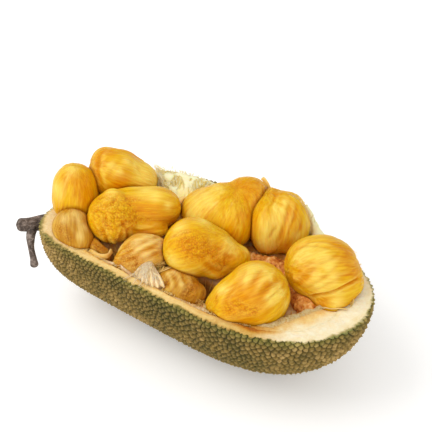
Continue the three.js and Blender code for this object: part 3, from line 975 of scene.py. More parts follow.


# %% [markdown]
# ## The eleven bulbs
# Each bulb is a short list of egg-shaped lobes, (x, y, z, half length, half width, half height,
# turn) in mm and degrees, with the direction of its fibres, its folds (depth, width, line) and its
# patches of orange, pale and crumbly flesh. Many pale patches are painted highlights, and some
# orange ones are painted shade on a bulb's shaded side. A fold's line runs so that its upper lip
# is on the left of a line that goes down. The firmest come first: each bulb is dented by those before it.

# %% Bulbs, the firmest first
BULBS = {
    # A pointed one at the near wall, with deep slanting valleys on its right.
    "bulb_09": dict(
        lobes=[(65, -27, 6, 29, 30, 31, 8), (50, -37, 3, 22, 24, 21, 15), (38, -41, -2, 14, 12, 10, 15)],
        axis=(0.75, 0.5, 0.35), fibre=0.3, waves=0.8,
        pale=[(254, 268, 7), (264, 270, 4), (246, 277, 5), (222, 289, 5), (280, 293, 6), (273, 299, 5),
              (286, 304, 5), (271, 279, 3)],
        orange=[(240, 293, 12), (250, 300, 12), (258, 294, 10), (267, 287, 6), (243, 284, 6), (270, 283, 5),
                (232, 312, 8), (246, 317, 9)],
        rough=[(245, 309, 5), (254, 311, 5), (238, 304, 4), (229, 309, 5), (216, 300, 4)],
        folds=[(2.1, 3.1, [(251, 287), (255, 278), (261, 271), (268, 267)]),
               (2.1, 3.4, [(259, 298), (266, 289), (273, 283), (281, 278)]),
               (1.4, 1.6, [(262, 304), (270, 298), (279, 290), (287, 285)]),
               (-1.6, 2.0, [(276, 272), (266, 281), (258, 290)]),
               (1.1, 2.9, [(239, 285), (243, 277), (246, 268)]),
               (0.7, 1.8, [(228, 313), (226, 301), (231, 290), (238, 281)]),
               (0.8, 1.8, [(229, 297), (241, 307), (254, 312), (266, 306)])]),
    # A big round one near the tip, wrapped in long curved folds over a smaller lobe.
    "bulb_10": dict(
        lobes=[(108, 20, 15, 33, 29, 29, 10), (126, 19, 6, 21, 20, 20, 10), (126, 3, -4, 18, 15, 14, 10)],
        axis=(0.8, 0.6, -0.1), fibre=0.3, waves=0.8,
        pale=[(308, 253, 10), (321, 256, 9), (299, 258, 6), (320, 287, 8), (333, 280, 7), (337, 302, 7),
              (316, 274, 6), (330, 268, 6)],
        orange=[(304, 276, 9), (311, 269, 7), (299, 282, 6), (351, 264, 12), (347, 252, 8), (338, 245, 7),
                (322, 304, 7), (286, 258, 5), (354, 277, 6)],
        folds=[(3.8, 1.3, [(361, 277), (345, 286), (332, 292), (320, 294), (308, 296), (298, 290)]),
               (0.9, 1.8, [(342, 262), (326, 276), (312, 286), (303, 290)]),
               (0.9, 1.8, [(352, 274), (334, 281), (318, 289), (308, 292)]),
               (1.0, 2.2, [(326, 260), (314, 270), (303, 279), (297, 286)]),
               (0.9, 1.6, [(297, 248), (310, 242), (324, 241), (340, 246)]),
               (0.9, 1.6, [(293, 252), (306, 246), (322, 246), (338, 252)]),
               (0.8, 1.4, [(301, 261), (314, 264), (330, 260), (342, 250)]),
               (-2.0, 3.2, [(294, 275), (297, 283)]), (0.8, 2.2, [(331, 309), (318, 306), (309, 300)])]),
    # The round one in the middle, with a snout that points right and a dimple on the snout.
    "bulb_06": dict(
        lobes=[(-8, 2, 13, 27, 27, 28, 20), (8, 8, 12, 22, 20, 20, 14), (27, 11, 6, 16, 13, 13, 14),
               (17, -4, 0, 11, 9, 8, 30)], axis=(0.8, 0.35, 0.35), fibre=0.16, waves=0.3,
        pale=[(230, 243, 6), (246, 251, 4), (172, 262, 7), (203, 221, 8), (179, 228, 7), (190, 274, 7)],
        orange=[(196, 247, 12), (215, 255, 9), (224, 262, 8), (212, 265, 8), (186, 242, 7)],
        rough=[(193, 246, 11), (183, 242, 8), (204, 249, 9), (214, 256, 7), (222, 266, 6), (197, 237, 6)],
        folds=[(2.0, 3.2, [(224, 261), (226, 258), (229, 258), (231, 261)]),
               (1.5, 2.3, [(227, 274), (217, 272), (208, 266), (202, 259)]),
               (-1.4, 2.4, [(218, 240), (230, 245), (240, 250), (248, 254)]),
               (0.6, 4.0, [(214, 234), (219, 245), (216, 258)])]),
    # A smooth lobe on the right and a crumbly half with a small nub on the left.
    "bulb_03": dict(
        lobes=[(-62, 36, 16, 25, 20, 20, 24), (-92, 11, 14, 24, 24, 24, 24), (-80, 27, 15, 25, 21, 21, 24),
               (-93, 16, 35, 8, 7, 6, 0), (-57, 16, 6, 17, 8, 8, 24)],
        axis=(0.9, 0.45, -0.1), fibre=0.22, waves=0.5,
        pale=[(146, 189, 10), (156, 197, 6), (168, 205, 5), (111, 193, 5), (115, 242, 6), (137, 186, 6)],
        orange=[(152, 213, 11), (163, 219, 9), (140, 209, 8), (130, 200, 6), (171, 222, 6)],
        rough=[(99, 212, 11), (110, 224, 12), (122, 213, 11), (97, 203, 8), (128, 226, 9), (99, 233, 8),
               (113, 207, 8), (136, 219, 9), (116, 240, 8), (128, 206, 7)],
        folds=[(1.4, 2.2, [(118, 195), (114, 201), (106, 205), (99, 203)]),
               (2.1, 2.0, [(99, 219), (102, 230), (106, 240), (111, 250)]),
               (1.8, 2.0, [(124, 222), (122, 234), (118, 244), (116, 252)]),
               (-1.4, 1.5, [(111, 226), (113, 236), (115, 247)]),
               (1.8, 2.2, [(164, 228), (150, 231), (138, 232), (127, 227)]),
               (-1.6, 1.8, [(131, 236), (143, 235), (158, 232)]),
               (1.9, 1.7, [(118, 217), (124, 225), (128, 233), (127, 243)]),
               (1.4, 1.5, [(103, 210), (106, 221), (108, 232)])]),
    # The largest, with a long sharp fold down its right side.
    "bulb_07": dict(
        lobes=[(-2, 57, 14, 32, 28, 27, 24), (16, 74, 20, 22, 22, 25, 24), (-20, 58, 10, 23, 21, 19, 24),
               (13, 49, 12, 18, 22, 23, 24)], axis=(0.35, 0.2, 0.9), fibre=0.2, waves=0.5,
        pale=[(209, 203, 6), (192, 206, 12), (196, 216, 10), (216, 189, 7), (204, 196, 8), (262, 222, 4)],
        orange=[(250, 188, 12), (259, 184, 8), (264, 200, 7), (238, 184, 7), (230, 238, 8), (243, 214, 7),
                (256, 205, 6)],
        folds=[(3.2, 1.0, [(262, 187), (264, 200), (263, 212), (257, 226), (249, 241)]),
               (1.2, 1.6, [(254, 188), (258, 200), (257, 213), (250, 227)]),
               (1.5, 1.8, [(268, 188), (268, 202), (264, 216), (258, 230)]),
               (0.4, 1.4, [(236, 206), (239, 220), (237, 234)]),
               (0.4, 1.4, [(222, 208), (225, 221), (226, 233)]),
               (0.4, 1.4, [(247, 196), (250, 209), (247, 221)])]),
    # A pale smooth lobe that leans on it, orange and streaked to the right.
    "bulb_08": dict(
        lobes=[(41, 60, 10, 17, 26, 28, 24), (56, 70, 11, 22, 28, 29, 24), (38, 76, 20, 15, 16, 18, 24)],
        axis=(-0.15, 0.35, 0.9), fibre=0.3, waves=0.8,
        pale=[(274, 222, 8), (268, 233, 8), (263, 245, 7), (279, 212, 7), (285, 202, 5), (272, 247, 6),
              (297, 236, 5)],
        orange=[(294, 213, 7), (301, 227, 5), (275, 194, 7), (288, 246, 5)],
        folds=[(1.2, 1.6, [(277, 226), (272, 234), (267, 241)]),
               (1.7, 2.2, [(291, 199), (287, 214), (283, 230), (277, 247)]),
               (0.9, 1.6, [(297, 206), (294, 219), (289, 234)]),
               (0.9, 1.6, [(303, 217), (300, 229), (293, 242)]),
               (1.0, 1.6, [(276, 190), (274, 200), (268, 212)])]),
    # A flat fan of fibres, half buried in the rags.
    "bulb_05": dict(
        lobes=[(-51, -8, 1, 23, 18, 17, 24), (-55, -20, -5, 17, 13, 12, 20), (-62, -23, -4, 12, 11, 10, 24)],
        axis=(0.9, 0.5, 0.25), fibre=0.6, waves=1.2,
        pale=[(150, 237, 7), (161, 243, 6), (137, 246, 6), (146, 256, 5)],
        rough=[(128, 250, 7), (134, 263, 8), (123, 260, 6)],
        folds=[(1.5, 2.0, [(166, 233), (152, 238), (138, 245), (122, 256)]),
               (1.4, 2.0, [(168, 240), (155, 246), (142, 252), (126, 262)]),
               (-1.0, 1.4, [(121, 252), (135, 241), (148, 234)]),
               (1.4, 2.0, [(168, 249), (156, 255), (143, 261), (131, 268)])]),
    # The wide dome at the far wall, with a hooked shoulder on its left.
    "bulb_02": dict(
        lobes=[(-110, 53, 29, 26, 23, 24, 24), (-92, 62, 21, 19, 18, 18, 24), (-122, 57, 40, 12, 11, 10, 24)],
        axis=(0.9, 0.5, -0.55), fibre=0.25, waves=0.5,
        pale=[(112, 166, 4), (127, 161, 5), (120, 171, 3), (143, 172, 9), (153, 180, 8), (135, 165, 4)],
        orange=[(108, 152, 9), (98, 163, 7), (123, 178, 8), (117, 187, 7), (134, 155, 6)],
        folds=[(1.8, 2.7, [(104, 149), (99, 157), (97, 167), (99, 178), (102, 190)]),
               (0.9, 2.3, [(122, 159), (113, 168), (108, 180)]),
               (-0.8, 1.5, [(128, 150), (140, 158), (149, 171)]),
               (0.7, 1.8, [(125, 157), (136, 165), (143, 177)])]),
    # The fan of fibres in front of the round one.
    "bulb_11": dict(
        lobes=[(-12, -24, -8, 19, 15, 14, 24), (0, -35, -8, 19, 13, 13, 20)],
        axis=(0.3, 0.6, 0.5), fibre=0.6, waves=0.7,
        pale=[(172, 272, 4), (182, 284, 3)], rough=[(166, 284, 6), (190, 292, 8)], orange=[(196, 284, 9)],
        folds=[(1.5, 2.2, [(170, 268), (176, 280), (178, 293)]),
               (1.5, 2.2, [(181, 270), (185, 281), (190, 290)]),
               (1.0, 1.8, [(163, 274), (168, 284), (170, 292)])]),
    # A smooth upright egg at the stem.
    "bulb_01": dict(
        lobes=[(-137, 23, 27, 21, 20, 24, 24), (-135, 18, 14, 22, 20, 21, 24)],
        axis=(0.1, 0.1, 1), fibre=0.16,
        pale=[(70, 168, 6), (56, 188, 9)], orange=[(86, 184, 13), (85, 198, 10), (76, 180, 8)],
        folds=[(0.5, 3.6, [(68, 166), (64, 184), (66, 200)])]),
    # A small one in front of it, pale on top and crumbly on its left.
    "bulb_04": dict(
        lobes=[(-126, -7, 4, 18, 18, 19, 24), (-116, -14, -1, 16, 14, 15, -24)],
        axis=(-0.27, 0.6, 0.74), fibre=0.35, waves=0.6,
        pale=[(77, 215, 9), (64, 219, 6), (85, 227, 7), (80, 236, 5)], rough=[(60, 229, 7), (68, 239, 5)],
        folds=[(-1.4, 2.0, [(67, 214), (75, 220), (85, 221)]),
               (1.1, 2.5, [(66, 218), (67, 229), (74, 240)])]),
    # A wedge of torn flesh, squeezed between two bulbs and the near wall.
    "skin_flap": dict(
        lobes=[(-103, -13, -4, 7, 6, 8, -20), (-96, -17, -5, 8, 6, 8, -20), (-88, -18, -7, 6, 5, 6, -10)],
        axis=(0.8, -0.3, -0.4), fibre=0.4, rough=[(98, 247, 6)], orange=[(104, 248, 5)],
        folds=[(0.9, 1.8, [(92, 240), (98, 246), (104, 250)])]),
}

# %% [markdown]
# ## Flesh finish
# Ripe jackfruit flesh is moist and waxy, and light sinks a few millimetres into it before it comes
# out more orange. That is subsurface scattering. On top lies a thin wet film, drawn as a coat. The
# colour wanders between butter yellow, gold and orange along the fibres. Shade and highlights are
# painted in as well: deeper orange in the creases, in the troughs of the ridges and where two bulbs
# touch, pale on the ridges and the lips of folds, and pale patches, many of them painted highlights.

# %% Flesh material
CLOUD_WIDTH = 9.0  # broad bands of colour along the fibres, mm
STRAND_WIDTH = 3.6  # bundles of fibres, mm
FIBRE_WIDTH = 1.6  # mm; real fibres are finer, and drawn this wide so that they show
CRUMB = 1.6  # size of the crumbs where the skin tore off, mm


def flesh_material(name, base, deep, light, pale_and_highlight, crumb):
    """Moist flesh: three tones along its fibres, tinted where the bulb's channels say so. The channels carry
    the flesh's own colours, painted shade and painted highlights.
    """
    flesh = new_material(name)
    place = add(flesh, "ShaderNodeTexCoord").outputs["Object"]
    streaks = add(flesh, "ShaderNodeAttribute", attribute_name="streaks").outputs["Vector"]
    clouds = add(flesh, "ShaderNodeTexNoise", {"Vector": streaks, "Scale": 1 / CLOUD_WIDTH, "Detail": 2.0})
    strands = add(flesh, "ShaderNodeTexNoise", {"Vector": streaks, "Scale": 1 / STRAND_WIDTH, "Detail": 2.0})
    threads = add(flesh, "ShaderNodeTexNoise", {"Vector": streaks, "Scale": 1 / FIBRE_WIDTH, "Detail": 3.0})
    crisp = add(flesh, "ShaderNodeMapRange", {"Value": threads.outputs["Fac"], "From Min": 0.32,
                                              "From Max": 0.68})
    grains = add(flesh, "ShaderNodeTexVoronoi", {"Vector": place, "Scale": 1 / (CRUMB * MM)})
    crumbs = add(flesh, "ShaderNodeMapRange", {"Value": grains.outputs["Distance"], "From Min": 0.7,
                                               "From Max": 0.1})
    mean = add(flesh, "ShaderNodeMath", {0: clouds.outputs["Fac"], 1: strands.outputs["Fac"]})
    tone = add(flesh, "ShaderNodeMapRange", {"Value": mean.outputs[0], "From Min": 0.55, "From Max": 1.45})
    colours = add(flesh, "ShaderNodeValToRGB", {"Fac": tone.outputs[0]},
                  stops=[(0.0, deep), (0.48, base), (1.0, light)])
    result = colours.outputs["Color"]
    # Pale is partly painted highlight and orange partly painted shade; the contact and crease channels are
    # painted shade.
    for attribute_name, strength, towards in (("orange", 0.85, deep), ("pale", 0.75, pale_and_highlight),
                                              ("rough", 0.5, crumb), ("contact_shade", 0.7, "#ab5f06"),
                                              ("crease_shade", 0.6, "#d47e00")):
        amount = add(flesh, "ShaderNodeAttribute", attribute_name=attribute_name).outputs["Fac"]
        factor = add(flesh, "ShaderNodeMath", {0: amount, 1: strength}, operation="MULTIPLY", use_clamp=True)
        result = add(flesh, "ShaderNodeMix", {"Factor": factor.outputs[0], "A": result, "B": colour(towards)},
                     data_type="RGBA").outputs["Result"]
    streaked = add(flesh, "ShaderNodeMix", {"Factor": 0.3, "A": result, "B": crisp.outputs["Result"]},
                   data_type="RGBA", blend_type="SOFT_LIGHT")
    crumbly = add(flesh, "ShaderNodeAttribute", attribute_name="rough").outputs["Fac"]
    speckle = add(flesh, "ShaderNodeMath", {0: crumbly, 1: 0.45}, operation="MULTIPLY")
    speckled = add(flesh, "ShaderNodeMix", {"Factor": speckle.outputs[0], "A": streaked.outputs["Result"],
                                            "B": crumbs.outputs["Result"]},
                   data_type="RGBA", blend_type="SOFT_LIGHT")
    wet = add(flesh, "ShaderNodeMapRange", {"Value": crumbly, "To Min": 0.38, "To Max": 0.7})
    heights = add(flesh, "ShaderNodeMix", {"Factor": crumbly, "A": crisp.outputs["Result"],
                                           "B": crumbs.outputs["Result"]})
    bump = add(flesh, "ShaderNodeBump", {"Height": heights.outputs["Result"], "Strength": 0.7,
                                         "Distance": 0.5 * MM})
    shader = add(flesh, "ShaderNodeBsdfPrincipled",
                 {"Base Color": speckled.outputs["Result"], "Roughness": wet.outputs[0],
                  "Normal": bump.outputs["Normal"], "IOR": 1.4, "Subsurface Weight": 0.35,
                  "Subsurface Scale": 0.004, "Subsurface Radius": (1.0, 0.55, 0.15),
                  "Specular IOR Level": 0.13, "Coat Weight": 0.08, "Coat Roughness": 0.12})
    add(flesh, "ShaderNodeOutputMaterial", {"Surface": shader.outputs["BSDF"]})
    return flesh


golden_flesh = flesh_material("moist_golden_flesh", base="#e6ad02", deep="#df9002", light="#f3cb34",
                              pale_and_highlight="#fadb66", crumb="#dca014")
pale_flesh = flesh_material("pale_fibrous_flesh", base="#dca328", deep="#cc8410", light="#f0cb6a",
                            pale_and_highlight="#f3d582", crumb="#c98a2c")
amber_flesh = flesh_material("amber_buried_flesh", base="#c68c1c", deep="#ae6c0c", light="#dcae44",
                             pale_and_highlight="#e8c670", crumb="#b87a20")

# %% Grow the bulbs
FINISHES = {"bulb_01": (golden_flesh, "pale_bulb"), "bulb_04": (amber_flesh, "pale_bulb"),
            "bulb_05": (pale_flesh, "pale_bulb"), "bulb_11": (amber_flesh, "pale_bulb"),
            "skin_flap": (amber_flesh, "pale_bulb")}
for seed, (name, spec) in enumerate(BULBS.items()):
    bulb = grow_bulb(name, 20 + 10 * seed, **spec)
    finish, slot = FINISHES.get(name, (golden_flesh, "bulb"))
    bulb.data.materials.append(finish)
    set_down(bulb, slot, name)

# %% [markdown]
# ## Rag bed
# Between the bulbs lie the rags: flat fibres that never turned into flesh, matted into a bed. Its
# top is uneven, climbs the wall at its edge and sinks in a few hollows; where it lies deep it is
# painted dark, as painted shade, and where it stands high, brighter. The same net is laid over a
# distance field: below the bed's top, inside the wall, and outside every bulb, so that each bulb
# sits in its own socket.

# %% Rag bed net
BED_TOP = -11.0  # mean height of the bed, measured from the cut
BED_STEP = 1.7  # size of the bed's faces, mm
# Hollows and mounds in the bed: (x, y, height, size) in mm, from the middle of the cut.
HOLLOWS = [(-81, -12, -12, 9), (10, -22, -20, 12), (56, 36, -7, 8), (108, 0, -6, 6)]
MOUNDS = [(-64, -36, 5, 12), (40, -48, 3, 12), (-44, 57, 8, 10), (-60, 84, 7, 16), (92, 62, 8, 14)]


def in_pith(points):
    """How far each place of the bed lies inside the thick pith, whose edge is torn, in mm."""
    flat = points * (1, 1, 0)
    return past_pith_edge(points) + 6.0 + 3.0 * noise(flat, 11, 66) + 1.6 * noise(flat, 3, 67)


def bed_height(points):
    """Height of the bed's top over each place."""
    flat = points * (1, 1, 0)
    height = BED_TOP + 1.6 * rough_noise(flat, 16, 60) + 0.8 * noise(flat * (1, 2.6, 1), 3.2, 64)
    for x, y, change, size in HOLLOWS + MOUNDS:
        height += change * np.exp(-((points[:, 0] - x) ** 2 + (points[:, 1] - y + BOW) ** 2) / size ** 2)
    edge = np.column_stack([points[:, :2], np.full(len(points), RIM)])
    height += 9.0 * np.exp(-(np.maximum(from_wall(edge), 0) / 10.0) ** 1.5)
    pith_level = cut_level(points) + hand_waver(points[:, 0], points[:, 1]) + 0.05
    return RIM + height + (pith_level - height) * ease(in_pith(points), -9, 1)


def from_bulbs(points):
    """About how far each point is outside the nearest bulb, in mm."""
    return np.minimum.reduce([lobes_distance(points, spec["lobes"]) for spec in BULBS.values()])


def bed_distance(points):
    """The distance to the matted bed, which stays off the wall and the bulbs."""
    knit = 3.0 * ease(in_pith(points), -4, 2)  # the thick pith grows together with the wall
    return np.maximum.reduce([points[:, 2] - bed_height(points), -from_wall(points) - knit,
                              0.8 - from_bulbs(points)])


bed_low = (-HALF_LENGTH + STEM_WALL, -NEAR_WIDTH - BOW, FLOOR_WALL - 3)
bed_high = (HALF_LENGTH - TIP_WALL, FAR_WIDTH, RIM + 8)
bed_points, bed_faces = net_over(bed_distance, bed_low, bed_high, BED_STEP)
rag_bed = new_piece("matted_rag_bed", bed_points, bed_faces)
bed_depth = bed_height(bed_points) - RIM
# Painted light and shade: the bed's tone is brighter where it stands high and falls to dark brown where it
# lies deep.
paint(rag_bed, "tone", 0.42 + 0.12 * ease(bed_depth, -8, -3) + 0.12 * ease(in_pith(bed_points), -9, 0)
      - 0.42 * ease(bed_depth, BED_TOP - 1, BED_TOP - 7))
paint(rag_bed, "pith_depth", 0.94 - 0.47 * whiter(in_pith(bed_points) - 6))
bed_pith_faces = in_pith(bed_points[bed_faces].mean(axis=1)) > -3.5

# %% [markdown]
# ## Loose fibres
# What makes rags look like rags is single fibres: thin flat threads that lie across each other,
# curl off the bed and fray at the wall's edge. Each is a thin tapered ribbon along a wandering
# line. Thousands of them are cheap when they share one mesh.

# %% Fibre maker
FIBRE_SIDES = 4


def fibre_lines(starts, headings, lengths, steps, wander, seed, droop=0.0):
    """Wandering lines, one row of points for each fibre."""
    lines = [np.array(starts, float)]
    heading = np.array(headings, float)
    for n in range(steps):
        heading = heading + wander * np.column_stack([noise(lines[-1] + 31 * axis, 4.0, seed + axis + n)
                                                      for axis in range(3)])
        heading[:, 2] -= droop
        heading = unit(heading)
        lines.append(lines[-1] + heading * (np.array(lengths) / steps)[:, None])
    return np.stack(lines, axis=1)


def fibre_mesh(lines, widths, thickness=0.45):
    """Closed flat ribbons along the lines, thin at both ends."""
    count, stops = lines.shape[:2]
    ahead = unit(np.gradient(lines, axis=1))
    level = unit(np.cross(ahead, (0.13, 0.21, 1.0)))
    lift = np.cross(level, ahead)
    taper = (0.15 + 0.85 * np.sin(np.linspace(0.12, math.pi - 0.12, stops)) ** 0.6)[None, :, None]
    rings = []
    for n in range(FIBRE_SIDES):
        turn = 2 * math.pi * n / FIBRE_SIDES
        half = taper * np.array(widths)[:, None, None] / 2
        rings.append(lines + half * (level * math.cos(turn) + lift * math.sin(turn) * thickness))
    points = np.stack(rings, axis=2).reshape(-1, 3)
    end = np.arange(FIBRE_SIDES)
    faces = np.vstack([ring_faces(stops, FIBRE_SIDES), end[::-1], end + (stops - 1) * FIBRE_SIDES])
    return points, (faces + np.arange(count)[:, None, None] * stops * FIBRE_SIDES).reshape(-1, FIBRE_SIDES)


def fibre_piece(name, batches):
    """One mesh from several batches of (lines, widths, paleness)."""
    points, faces, pale = [], [], []
    count = 0
    for lines, widths, paleness in batches:
        batch_points, batch_faces = fibre_mesh(lines, widths)
        points.append(batch_points)
        faces.append(batch_faces + count)
        pale.append(np.repeat(paleness, lines.shape[1] * FIBRE_SIDES))
        count += len(batch_points)
    piece = new_piece(name, np.concatenate(points), np.concatenate(faces))
    paint(piece, "paleness", np.concatenate(pale))
    return piece


# %% Fibres on the bed
fibre_rng = np.random.default_rng(21)
BED_MIDDLE, BED_HALF_LENGTH = -4.5, 141.0  # where the bed lies along the fruit, mm


def bed_fibres(count, length, width, lift, seed):
    """Fibres over the bed that run out from the core towards the wall."""
    x = fibre_rng.uniform(-140, 128, count)
    across = fibre_rng.uniform(-1, 1, count)
    s = np.clip((x - BED_MIDDLE) / BED_HALF_LENGTH, -1, 1)
    reach = swell(s, WIDTH_POWERS) * (np.where(across > 0, FAR_WIDTH, NEAR_WIDTH) - WALL - 2)
    y = middle_line(x) + across * reach
    places = np.column_stack([x, y, np.full(count, RIM)])
    places[:, 2] = bed_height(places) + lift
    places = places[(from_bulbs(places) > 0.5) & (places[:, 2] > RIM - 15) & (in_pith(places) < -4)]
    count = len(places)
    outward = unit(np.column_stack([fibre_rng.normal(0.1, 0.5, count),
                                    np.sign(places[:, 1] - middle_line(places[:, 0])),
                                    fibre_rng.normal(0.05, 0.2, count)]))
    lengths = length * fibre_rng.uniform(0.5, 1.4, count)
    lines = fibre_lines(places, outward, lengths, 6, 0.5, seed)
    flat = lines.reshape(-1, 3)
    top = bed_height(flat) + lift + 0.8 * noise(flat, 3, seed)
    flat[:, 2] = np.clip(flat[:, 2], top - 0.4, top + 1.5)
    sink = np.maximum(0.6 - from_bulbs(flat), 0)
    slope, _ = gradient(from_bulbs, flat)
    flat = flat + slope * sink[:, None]
    flat[:, 2] = np.minimum(flat[:, 2], RIM + 3.5)
    outside = np.maximum(1.2 - from_wall(flat), 0) * (flat[:, 2] < RIM - 0.5)
    flat[:, 1] -= np.sign(flat[:, 1] - middle_line(flat[:, 0])) * outside
    return (flat.reshape(lines.shape), width * fibre_rng.uniform(0.5, 1.5, count),
            fibre_rng.uniform(0.1, 0.5, count))


bed_fibre_piece = fibre_piece("loose_bed_fibres", [bed_fibres(450, 12, 1.2, 0.0, 70),
                                                   bed_fibres(450, 8, 0.8, 0.2, 80)])

# %% Frayed edge of the wall
FRAYS = 900
fray_turn = fibre_rng.uniform(0, 2 * math.pi, FRAYS)
fray_s = -np.cos(fray_turn)
fray_angle = np.where(fray_turn < math.pi, 0.0, math.pi)
fray_start = on_pod(fray_s, fray_angle, WALL - 1.5, TIP_WALL - 3, STEM_WALL - 2)
inner_rim = on_pod(fray_s, fray_angle, WALL, TIP_WALL, STEM_WALL)
fray_start += (inner_rim - fray_start) * fibre_rng.uniform(0, 1, (FRAYS, 1))
fray_start[:, 2] += 0.3
fray_start[:, 2] -= 3.0 * ease(past_pith_edge(fray_start), -12, -4)  # none show on the thick pith
towards = unit(on_pod(fray_s * 0.9, fray_angle, WALL + 25, TIP_WALL + 25, STEM_WALL + 25) - fray_start)
towards += fibre_rng.normal(0, 0.45, (FRAYS, 3)) * (1, 1, 0.2)
fray_lines = fibre_lines(fray_start, towards, 3.5 * fibre_rng.uniform(0.5, 1.5, FRAYS), 5, 0.35, 90,
                         droop=0.12)

# %% Short fibres that run in from the thick pith
PITH_FIBRES = 700
across = fibre_rng.uniform(-42, 34, PITH_FIBRES)
inwards = fibre_rng.uniform(-7, 0, PITH_FIBRES)
pith_start = np.column_stack([PITH_EDGE[0] - across * math.sin(PITH_TURN) + inwards * math.cos(PITH_TURN),
                              PITH_EDGE[1] + across * math.cos(PITH_TURN) + inwards * math.sin(PITH_TURN),
                              np.full(PITH_FIBRES, RIM)])
pith_start[:, 2] = bed_height(pith_start) + 0.2
pith_start = pith_start[(from_bulbs(pith_start) > 0.3) & (from_wall(pith_start - (0, 0, 1)) > 1)]
towards = np.tile((-math.cos(PITH_TURN), -math.sin(PITH_TURN), 0.05), (len(pith_start), 1))
towards += fibre_rng.normal(0, 0.35, towards.shape) * (1, 1, 0.3)
pith_lines = fibre_lines(pith_start, towards, 6 * fibre_rng.uniform(0.5, 1.5, len(pith_start)), 5, 0.35, 95)
flat = pith_lines.reshape(-1, 3)
flat[:, 2] = np.clip(flat[:, 2], bed_height(flat) - 0.1, bed_height(flat) + 0.5)


def clear_of_bulbs(lines, room=0.4):
    """Fibre lines, pushed off the bulbs where they would run into one."""
    flat = lines.reshape(-1, 3)
    slope, gap = gradient(from_bulbs, flat)
    return (flat + slope * np.maximum(room - gap, 0)[:, None]).reshape(lines.shape)


frayed = fibre_piece("frayed_wall_fibres",
                     [(clear_of_bulbs(lines), fibre_rng.uniform(0.4, widest, len(lines)),
                       fibre_rng.uniform(darkest, darkest + 0.5, len(lines)))
                      for lines, widest, darkest in ((fray_lines, 1.1, 0.3), (pith_lines, 0.9, 0.5))])

# %% [markdown]
# ## Rag finishes
# Rags are damp, matte plant fibre, cream at their tips and stained gold to tan where they were
# joined to the flesh. They are thin, so some light comes through. On the bed and the clumps, light
# and shade are painted in too: brighter where they stand high or raised, darker where they lie deep.

# %% Rag materials
RAG_BLOTCH = 16.0  # size of the soft stains, mm
RAG_THREAD = 1.5  # mm; real threads are finer, and drawn this wide so that they show


def rag_material(name, low, middle, high, attribute_name, stretch, contrast=0.5):
    """Damp fibre. Its tone follows the attribute, and its threads are long where stretch is small."""
    rag = new_material(name)
    place = add(rag, "ShaderNodeTexCoord").outputs["Object"]
    drawn = add(rag, "ShaderNodeVectorMath", {0: place, 1: stretch}, operation="MULTIPLY")
    blotch = add(rag, "ShaderNodeTexNoise", {"Vector": place, "Scale": 1 / (RAG_BLOTCH * MM), "Detail": 3.0})
    threads = add(rag, "ShaderNodeTexNoise", {"Vector": drawn.outputs[0], "Scale": 1 / (RAG_THREAD * MM),
                                              "Detail": 3.0})
    given = add(rag, "ShaderNodeAttribute", attribute_name=attribute_name).outputs["Fac"]
    mean = add(rag, "ShaderNodeMath", {0: blotch.outputs["Fac"], 1: 0.9, 2: given}, operation="MULTIPLY_ADD")
    tone = add(rag, "ShaderNodeMapRange", {"Value": mean.outputs[0], "From Min": 0.2, "From Max": 1.4})
    colours = add(rag, "ShaderNodeValToRGB", {"Fac": tone.outputs[0]},
                  stops=[(0.0, low), (0.45, middle), (1.0, high)])
    streaked = add(rag, "ShaderNodeMix", {"Factor": contrast, "A": colours.outputs["Color"],
                                          "B": threads.outputs["Fac"]},
                   data_type="RGBA", blend_type="SOFT_LIGHT")
    bump = add(rag, "ShaderNodeBump", {"Height": threads.outputs["Fac"], "Strength": 0.6,
                                       "Distance": 0.6 * MM})
    shader = add(rag, "ShaderNodeBsdfPrincipled",
                 {"Base Color": streaked.outputs["Result"], "Roughness": 0.6,
                  "Normal": bump.outputs["Normal"], "IOR": 1.4, "Specular IOR Level": 0.25,
                  "Subsurface Weight": 0.3, "Subsurface Scale": 0.003,
                  "Subsurface Radius": (1.0, 0.6, 0.3)})
    add(rag, "ShaderNodeOutputMaterial", {"Surface": shader.outputs["BSDF"]})
    return rag


# Its dark brown stop is reached where the bed lies deep, as painted shade.
bed_finish = rag_material("damp_matted_rag", "#6e3710", "#d0923c", "#fbf0cf", "tone", (1.0, 0.3, 1.0))
thread_finish = rag_material("damp_rag_fibre", "#c98a2c", "#e6b65a", "#f8e0a4", "paleness", (1.0, 0.4, 1.0))
rag_bed.data.materials.append(bed_finish)
rag_bed.data.materials.append(pith)
rag_bed.data.polygons.foreach_set("material_index", bed_pith_faces.astype(np.int32))
set_down(rag_bed, "rag", "rag_bed")
for piece in (bed_fibre_piece, frayed):
    piece.data.materials.append(thread_finish)
    set_down(piece, "rag")

# %% [markdown]
# ## Clumps: the core, the far rags and the white tuft
# The fruit's core is a brown granular strip on the bed. Cream rags rise along the far wall like a
# bank of torn wool, and a white tuft fills the gap between two bulbs by the near wall. All are made
# as the bulbs are, from lobes under one net, with their own roughness. Fine fibres are laid on the
# soft ones: each follows the surface under it.

# %% Clump maker
def clump(name, lobes, step, roughness, blend=BLEND, rise=0.0):
    """A piece under one net, clear of the bulbs, and its distance. Its tone is painted brighter on raised
    parts and darker in dips, and grows by rise per mm up: painted light and shade.
    """
    def clear(points):
        return np.maximum(lobes_distance(points, lobes, blend), 0.3 - from_bulbs(points))

    points, faces, outward = net_over_lobes(clear, lobes, step)
    level = roughness(points)
    free = ease(from_bulbs(points), 0.3, 2.5)
    piece = new_piece(name, points + outward * (level * free)[:, None], faces)
    # Painted light and shade: brighter on raised parts and higher up, darker in dips.
    paint(piece, "tone", np.clip(0.5 + level / 3 + rise * (points[:, 2] - RIM), 0, 1))
    return piece, clear


